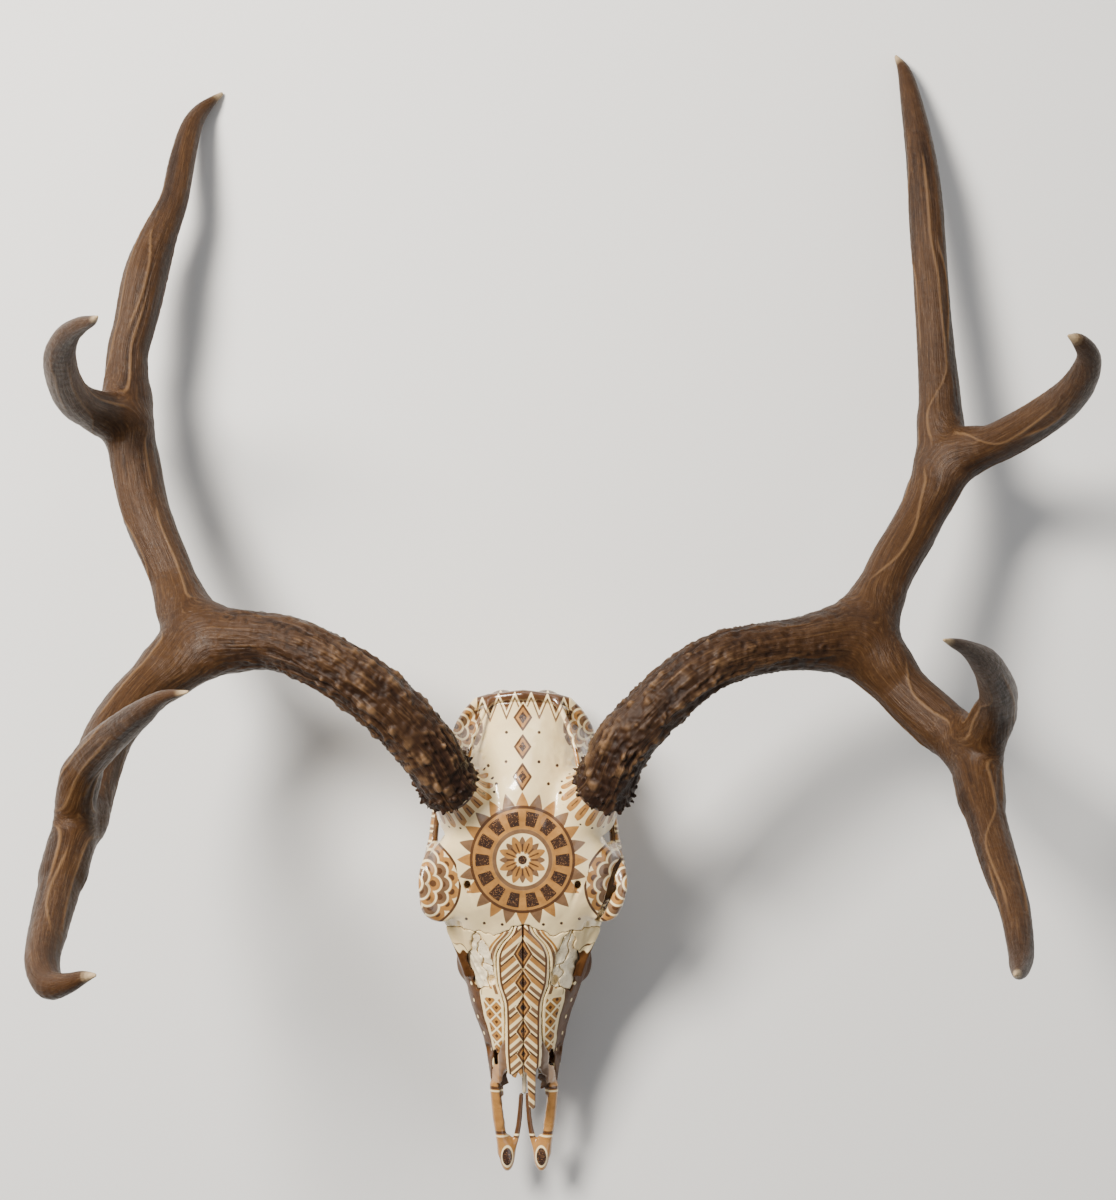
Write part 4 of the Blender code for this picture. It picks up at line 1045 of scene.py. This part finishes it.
def make_bone(name, field, low, high, kind, nodes, slot, step=None):
    points, quads = polygonise(field, low, high, step or BONE_STEP)
    points, quads = clean_shells(points, quads)
    normals = normals_of(points, quads)
    x, y, z = points.T
    layers = {}
    if slot == "painted_bone":
        layers = paint(x, y, z, normals, kind)
        # Dark line along the sutures, plus painted shade on the walls of the crack over the orbit so that it reads
        # dark.
        layers["seam_and_crack_shade"] = np.minimum(seam_depth(points), np.clip(split(x, y, z) - 0.3, 0, 3))
        # Painted shade in hollows: the deeper a point lies below the skull's outer form, the darker it is, less so
        # inside the orbits. It also stands for the unpainted bone there.
        out, back, up = orbit_axes(np.abs(x), y, z)
        in_orbit = step_up(-ellipsoid(out, back, up, (1.5, 0, 0), (38, 25, 25)), -2, 1)
        layers["inner"] = step_up(-loft(np.abs(x), y, z), 3.2, 4.8) * (kind != "premaxilla") * (1 - 0.72 * in_orbit)
    if slot == "enamel":
        layers["neck"] = step_up(z, 8.5, 13.5)
    return build_mesh(name, points, quads, layers, MATERIALS["flank" if kind == "maxilla" else slot], nodes)


make_bone("bone_cranium", cranium_field, (-66, -92, 0), (66, 60, 136), "cranium", ["cranium"], "painted_bone")
for side, tag in ((1, "l"), (-1, "r")):
    def box(low_x, high_x):
        return (low_x, high_x) if side > 0 else (-high_x, -low_x)
    x0, x1 = box(-1, 60)
    make_bone("bone_maxilla_" + tag, maxilla_field(side), (x0, -212, 8), (x1, -52, 104), "maxilla",
              ["maxilla_" + tag], "painted_bone")
    x0, x1 = box(-1, 26)
    make_bone("bone_premaxilla_" + tag, premaxilla_field(side), (x0, -244, 18), (x1, -148, 72), "premaxilla",
              ["premaxilla_" + tag], "painted_bone")
    x0, x1 = box(-1, 20)
    make_bone("bone_nasal_" + tag, nasal_field(side), (x0, -200, 50), (x1, -82, 102), "nasal", ["nasal_" + tag],
              "painted_bone")
    x0, x1 = box(28, 66)
    make_bone("bone_zygomatic_" + tag, zygomatic_field(side), (x0, -100, 30), (x1, 2, 74), "zygomatic",
              ["zygomatic_" + tag], "painted_bone")
    x0, x1 = box(10, 38)
    make_bone("bone_chamber_plate_" + tag, plate_field(side), (x0, -130, 58), (x1, -82, 96), "plate",
              ["chamber_plate_" + tag], "bare_bone", TOOTH_STEP)
    x0, x1 = box(12, 42)
    make_bone("teeth_" + tag, teeth_field(side), (x0, -152, -2), (x1, -60, 16), "teeth", ["cheek_teeth_" + tag],
              "enamel", TOOTH_STEP)
make_bone("bone_vomer", vomer_field, (-5, -196, 28), (5, -140, 44), "vomer", ["vomer"], "bare_bone")


# Antlers
ANTLERS = {
    "l": dict(
        burr=LEFT_BURR, side=1,
        main=((59.2, 28.8, 134, 15.9), (90, 60.4, 138, 15.0), (113.5, 74.6, 134, 14.7), (138, 80.6, 127, 14.4),
              (168, 84, 118, 15.1), (196, 88, 108, 15.6), (206, 108, 99, 14.0), (216.2, 128.5, 91, 14.0),
              (233.3, 155.5, 80, 14.0), (245.6, 182, 70, 13.8), (249, 220, 60, 12.9), (248, 257, 52, 11.1),
              (246, 305, 43, 10.6), (244, 353, 34, 10.2), (242, 385, 25, 8.8), (238, 419, 14, 6.3),
              (235, 436, 8, 4.0), (231, 446, 2.0, 1.3)),
        front=((196, 88, 108, 15.6), (218, 57, 118, 14.9), (237, 38, 130, 15.4), (252, 24, 145, 14.1),
               (254, 4, 165, 12.4), (255.2, -16, 190, 10.6), (256.5, -35, 218, 9.8), (258, -52, 246, 8.1),
               (256, -69, 276, 6.8), (252, -75, 295, 5.5), (248, -76, 312, 3.5), (244, -75, 324, 1.0)),
        hook=((246, 188, 70, 11.5), (263, 196, 78, 12.2), (277, 200, 92, 11.7), (294, 210, 118, 11.2),
              (306, 221, 150, 10.1), (310, 233, 178, 8.2), (308, 241, 195, 6.2), (300, 247, 209, 4.0),
              (293, 249, 216, 1.0)),
        upper=((252, 24, 145, 12.0), (260, 39.5, 165, 11.1), (260.2, 53, 190, 10.3), (252.6, 65.6, 220, 9.1),
               (242, 76.4, 248, 7.1), (229, 83.4, 272, 4.2), (220.4, 86.2, 285, 2.6), (214, 88, 294, 0.9))),
    "r": dict(
        burr=RIGHT_BURR, side=-1,
        main=((-55.4, 25.6, 134, 16.7), (-80, 52, 140, 16.4), (-109.5, 72.2, 138, 15.8), (-136.5, 83.4, 131, 15.9),
              (-162, 85, 122, 16.0), (-184, 87, 112, 16.4), (-196, 101, 102, 13.9), (-206, 124, 92, 12.9),
              (-222, 158, 80, 13.9), (-230, 187, 70, 14.3), (-236, 216, 63, 14.3), (-238, 253, 56, 12.3),
              (-234, 274, 52, 12.3), (-229, 302, 47, 13.0), (-224, 321, 42, 11.8), (-218, 338, 38, 9.9),
              (-213, 353, 34, 8.5), (-210, 376, 26, 7.9), (-206, 398, 17, 6.7), (-201, 410, 10, 5.0),
              (-194, 418, 6, 2.8), (-189, 423, 2.0, 1.3)),
        front=((-184, 87, 112, 16.4), (-202.5, 68, 124, 15.0), (-219, 50.5, 140, 14.2), (-229.6, 32, 160, 13.5),
               (-233, 12, 185, 13.3), (-233, -7, 212, 12.5), (-235, -25, 243, 11.2), (-235.4, -43, 272, 10.4),
               (-234, -59, 302, 9.5), (-231, -70, 326, 8.5), (-224, -77, 342, 7.2), (-214, -75, 352, 5.2),
               (-205, -71, 359, 3.3), (-198, -69, 364, 1.0)),
        hook=((-236, 212, 66, 12.0), (-251, 219, 82, 11.8), (-259, 224, 105, 11.0), (-260, 233, 135, 9.9),
              (-256, 243, 165, 8.8), (-247, 251, 190, 6.8), (-236, 255, 210, 4.8), (-227, 256, 224, 2.9),
              (-222, 257, 234, 0.9)),
        upper=((-234, -9, 216, 10.5), (-233, 3, 235, 9.2), (-225, 21, 252, 9.3), (-212, 34, 272, 9.2),
               (-198, 44, 294, 7.8), (-184, 53, 315, 6.2), (-171, 61, 333, 3.4), (-157, 64, 347, 0.9))),
}
FORK_BLEND = {"front": 10.0, "hook": 8.0, "upper": 10.0}
# Fork, first branch and place past the fork, second branch and place, share of the radius, bend into the crotch
WEBS = {
    "l": (("front", "main", 24, "front", 24, 0.80, 1.0), ("hook", "main", 24, "hook", 24, 0.78, 1.0),
          ("upper", "front", 36, "upper", 36, 0.86, 1.0), ("front", "main", -28, "front", 25, 0.82, 0.0),
          ("front", "main", -32, "main", 27, 0.70, 0.0), ("hook", "main", -22, "hook", 22, 0.80, 0.0)),
    "r": (("front", "main", 30, "front", 30, 0.84, 1.0), ("hook", "main", 20, "hook", 20, 0.78, 1.0),
          ("upper", "front", 42, "upper", 42, 0.86, 1.0), ("front", "main", -28, "front", 27, 0.88, 0.0),
          ("front", "main", -25, "main", 22, 0.70, 0.0)),
}


class Branch:
    """A resampled centre line with a turning-free frame."""

    def __init__(self, rows, start_s=0.0):
        self.rows = spline(rows, 4)
        p = self.rows[:, :3]
        seg = np.linalg.norm(np.diff(p, axis=0), axis=1)
        self.s = start_s + np.concatenate(([0], np.cumsum(seg)))
        tangent = np.gradient(p, axis=0)
        tangent /= np.linalg.norm(tangent, axis=1, keepdims=True)
        side = np.cross(tangent[0], (0.0, 0.0, 1.0))
        side /= np.linalg.norm(side)
        sides = [side]
        for t in tangent[1:]:
            side = side - t * (side @ t)
            side /= np.linalg.norm(side)
            sides.append(side)
        self.side = np.array(sides)
        self.other = np.cross(tangent, self.side)

    def at(self, s):
        return np.array([np.interp(s, self.s, self.rows[:, c]) for c in range(4)])

    def nearest(self, points):
        """Distance to the skin, arc length, radius and the two directions round the axis."""
        best = np.full(len(points), 1e9)
        index = np.zeros(len(points), int)
        part = np.zeros(len(points))
        for n, (a, b) in enumerate(zip(self.rows, self.rows[1:])):
            e = b[:3] - a[:3]
            q = points - a[:3]
            t = np.clip(q @ e / (e @ e), 0, 1)
            d = np.linalg.norm(q - t[:, None] * e, axis=1) - (a[3] + t * (b[3] - a[3]))
            closer = d < best
            best[closer] = d[closer]
            index[closer] = n
            part[closer] = t[closer]
        w = part[:, None]
        foot = self.rows[index] * (1 - w) + self.rows[index + 1] * w
        off = points - foot[:, :3]
        sx = np.einsum("ij,ij->i", off, self.side[index] * (1 - w) + self.side[index + 1] * w)
        sy = np.einsum("ij,ij->i", off, self.other[index] * (1 - w) + self.other[index + 1] * w)
        size = np.sqrt(sx * sx + sy * sy) + 1e-9
        s = self.s[index] * (1 - part) + self.s[index + 1] * part
        return best, s, foot[:, 3], sx / size, sy / size


def antler_parts(spec):
    aim = BURR_AIM * (spec["side"], 1, 1)
    aim = aim / np.linalg.norm(aim)
    burr = np.array(spec["burr"], float) + aim * 0.35
    root = [tuple(burr + aim * 1.0) + (15.0,), tuple(burr + aim * 7.0) + (15.2,)]
    main = Branch(root + list(spec["main"]))
    parts = {"main": main}
    fork = np.argmin(np.linalg.norm(main.rows[:, :3] - np.array(spec["front"][0][:3]), axis=1))
    parts["front"] = Branch(spec["front"], main.s[fork])
    fork = np.argmin(np.linalg.norm(main.rows[:, :3] - np.array(spec["hook"][0][:3]), axis=1))
    parts["hook"] = Branch(spec["hook"], main.s[fork])
    first = parts["front"]
    fork = np.argmin(np.linalg.norm(first.rows[:, :3] - np.array(spec["upper"][0][:3]), axis=1))
    parts["upper"] = Branch(spec["upper"], first.s[fork])
    return parts, burr, aim


def web_rod(parts, fork, first, ahead, second, beyond, share, bend):
    """A rod that fills a fork as the webs of real antlers do: bent into its crotch or straight over its corner."""
    start = parts[fork].s[0]
    a, b = parts[first].at(start + ahead), parts[second].at(start + beyond)
    crotch = (parts[first].at(start + 0.58 * ahead) + parts[second].at(start + 0.58 * beyond)) / 2
    rows = np.array((a, bend * crotch + (1 - bend) * (a + b) / 2, b))
    rows[:, 3] *= share
    return spline(rows, 5)


def antler_field(parts, webs, burr, aim, knobs):
    starts, ends, radii, owner = [], [], [], []
    rods = [part.rows for part in parts.values()] + [web_rod(parts, *web) for web in webs]
    for n, rows in enumerate(rods):
        starts.append(rows[:-1, :3])
        ends.append(rows[1:, :3])
        radii.append(np.stack((rows[:-1, 3], rows[1:, 3]), 1))
        owner.append(np.full(len(rows) - 1, n))
    a, b, r, owner = [np.concatenate(v) for v in (starts, ends, radii, owner)]
    blends = [0.0] + [FORK_BLEND[name] for name in list(parts)[1:]] + [9.0] * len(webs)

    def field(x, y, z):
        p = np.stack((x, y, z), 1)
        out = np.full(len(p), FAR, np.float32)
        chunk = 4096
        for start in range(0, len(p), chunk):
            q = p[start:start + chunk]
            mid, spread = q.mean(0), np.linalg.norm(q - q.mean(0), axis=1).max()
            e = b - a
            t = np.clip(np.einsum("ij,ij->i", mid - a, e) / np.einsum("ij,ij->i", e, e), 0, 1)
            gap = np.linalg.norm(mid - a - t[:, None] * e, axis=1) - r.max(1)
            keep = gap < spread + max(14.0, gap.min() + spread)
            total = None
            for n in range(len(blends)):
                mine = np.nonzero(keep & (owner == n))[0]
                if not len(mine):
                    continue
                best = np.full(len(q), FAR)
                for m in mine:
                    e1 = b[m] - a[m]
                    v = q - a[m]
                    s = np.clip(v @ e1 / (e1 @ e1), 0, 1)
                    d = np.linalg.norm(v - s[:, None] * e1, axis=1) - (r[m, 0] + s * (r[m, 1] - r[m, 0]))
                    best = np.minimum(best, d)
                total = best if total is None else smin(total, best, blends[n])
            v = q - burr
            h = v @ aim
            near_burr = np.abs(h) < 26
            if near_burr.any() and total is not None:
                w = v[near_burr]
                hh = h[near_burr]
                rr = np.linalg.norm(w - hh[:, None] * aim, axis=1)
                ring = np.hypot(rr - 14.2, (hh - 3.4) * 1.0) - 3.3
                best = smin(total[near_burr], ring, 3.0)
                for c0, c1, r0, r1 in knobs:
                    e1 = c1 - c0
                    s = np.clip((w - c0) @ e1 / (e1 @ e1), 0, 1)
                    d = np.linalg.norm(w - c0 - s[:, None] * e1, axis=1) - (r0 + s * (r1 - r0))
                    best = smin(best, d, 1.3)
                total[near_burr] = smax(best, -hh, 0.8)
            if total is not None:
                out[start:start + chunk] = total
        return out
    return field


def cell_bumps(u, v, w, chance, seed):
    """Scattered cones on a jittered lattice, 0 to 1, with the given share of cells filled."""
    fi, fj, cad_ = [np.floor(c).astype(np.int64) for c in (u, v, w)]
    best = np.zeros(u.shape)
    for di in (-1, 0, 1):
        for dj in (-1, 0, 1):
            for dk in (-1, 0, 1):
                i, j, k = fi + di, fj + dj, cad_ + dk
                jitter = [0.42 * lattice(i, j, k, seed + n) for n in range(3)]
                d2 = (u - i - 0.5 - jitter[0]) ** 2 + (v - j - 0.5 - jitter[1]) ** 2 + (w - k - 0.5 - jitter[2]) ** 2
                size = 0.42 + 0.16 * lattice(i, j, k, seed + 3)
                tall = 0.62 + 0.38 * lattice(i, j, k, seed + 4)
                there = lattice(i, j, k, seed + 5) * 0.5 + 0.5 < chance
                best = np.maximum(best, np.where(there, tall * np.exp(-(d2 / size ** 2) ** 1.15), 0))
    return best


def make_antler(tag):
    spec = ANTLERS[tag]
    rng = np.random.default_rng(11 if tag == "l" else 12)
    parts, burr, aim = antler_parts(spec)
    cross = np.cross(aim, (0.0, 0.0, 1.0))
    cross /= np.linalg.norm(cross)
    other = np.cross(aim, cross)
    knobs = []
    for n in range(64):
        turn = 2 * math.pi * (n + rng.uniform(-0.4, 0.4)) / 32
        out = cross * math.cos(turn) + other * math.sin(turn)
        high = rng.uniform(1.2, 3.4) if n < 32 else rng.uniform(3.6, 8.5)
        reach = rng.uniform(18.0, 20.6) if n < 32 else rng.uniform(16.6, 18.2)
        lean = rng.uniform(-1.6, 0.4) if n < 32 else rng.uniform(0.0, 3.0)
        knobs.append((out * 13.6 + aim * high, out * reach + aim * max(high + lean, 0.9), rng.uniform(1.5, 2.6),
                      rng.uniform(0.45, 0.9)))
    field = antler_field(parts, WEBS[tag], burr, aim, knobs)
    every = np.concatenate([part.rows for part in parts.values()])
    low = (every[:, :3] - every[:, 3:4]).min(0) - 6
    high = (every[:, :3] + every[:, 3:4]).max(0) + 6
    points, quads = polygonise(field, low, high, ANTLER_STEP)
    points, quads = clean_shells(points, quads)
    normals = normals_of(points, quads)

    # Coordinates along and round the antler, blended where branches meet.
    weight, along, cx, cy, radius, largest = 0, 0, 0, 0, 0, 0
    tip = np.zeros(len(points))
    found = {name: part.nearest(points) for name, part in parts.items()}
    closest = np.min([f[0] for f in found.values()], axis=0)
    for name, (d, s, r, ux, uy) in found.items():
        w = np.exp(-(d - closest) / 4.5)
        weight = weight + w
        largest = np.maximum(largest, w)
        along = along + w * s
        radius = radius + w * r
        cx = cx + w * ux * np.minimum(r, 12)
        cy = cy + w * uy * np.minimum(r, 12)
        tip = tip + w * np.clip(1 - (parts[name].s[-1] - s) / 95.0, 0, 1)
    along, cx, cy, tip, radius = along / weight, cx / weight, cy / weight, tip / weight, radius / weight

    pure = step_up(largest / weight, 0.5, 0.95)
    px, py, pz = points.T
    rough = 1 - step_up(tip, 0.30, 0.95)
    beam = 1 - step_up(along + 22 * noise(cx / 8, cy / 8, along / 40, 70), 105, 215)
    warp = 1.6 * noise(cx / 5, cy / 5, along / 14, 75)
    ridged = np.clip(1 - 3.0 * np.abs(noise((cx + warp) / 4.0, (cy - warp) / 4.0, along / 26, 71)), 0, 1)
    fold = noise(cx / 7.5, cy / 7.5, along / 80, 73)
    lines = noise(cx / 2.3, cy / 2.3, along / 34, 72)
    crumb = noise(px / 2.4, py / 2.4, pz / 2.4, 76)
    push = beam * (1.15 * ridged - 0.35 + 0.42 * crumb) + (0.45 * fold * pure + 0.27 * lines * pure) * rough
    push = push + 0.13 * crumb * rough
    near = np.clip(1.25 - along / 190, 0.25, 1)
    warp2 = 1.2 * noise(px / 6, py / 6, pz / 6, 77)
    bumps = cell_bumps((cx + warp2) / 4.4, (cy + warp2) / 4.4, along / 7.2, 0.20 + 0.5 * beam * near, 80)
    specks = cell_bumps((cx + warp2) / 2.7, (cy - warp2) / 2.7, along / 4.0, 0.15 + 0.4 * beam * near, 90)
    push = push + beam * near * (2.5 * bumps + 1.15 * specks)
    lone = cell_bumps(cx / 7, cy / 7, along / 15, 0.16, 100)
    push = push + 0.9 * lone * (1 - beam) * (1 - step_up(along, 215, 300))
    turn = np.arctan2(cy, cx)
    vein = np.zeros(len(points))
    for number in range(6):
        middle = 2 * math.pi * number / 6 + rng.uniform(-0.4, 0.4) + 0.55 * noise(along / 42, along * 0, along * 0, 110 + number)
        aside = np.abs((turn - middle + math.pi) % (2 * math.pi) - math.pi) * np.maximum(radius, 6)
        there = step_up(noise(along / 60, along * 0, along * 0 + number, 120), -0.15, 0.35)
        vein = np.maximum(vein, np.exp(-(aside / 0.95) ** 2) * there)
    vein = vein * step_up(along, 100, 170) * (1 - step_up(tip, 0.0, 0.5)) * (0.25 + 0.75 * pure)
    push = push + 0.5 * vein
    push = push * step_up(along, 1.0, 5.0)
    moved = points + normals * push[:, None]
    moved[:, 2] = np.maximum(moved[:, 2], 0.05)
    layers = {"tone": np.clip(along / 420, 0, 0.88) * (1 - step_up(tip, 0.90, 0.99)) + step_up(tip, 0.90, 0.99),
              "relief": push, "vein": vein, "tip": tip, "round_x": cx / 6, "round_y": cy / 6, "along": along / 60}
    nodes = [n + "_" + tag for n in ("beam", "rear_branch", "long_tine", "hook_tine", "front_branch", "front_tine",
                                     "upper_tine")]
    build_mesh("antler_" + tag, moved, quads, layers, MATERIALS["antler"], nodes)


make_antler("l")
make_antler("r")
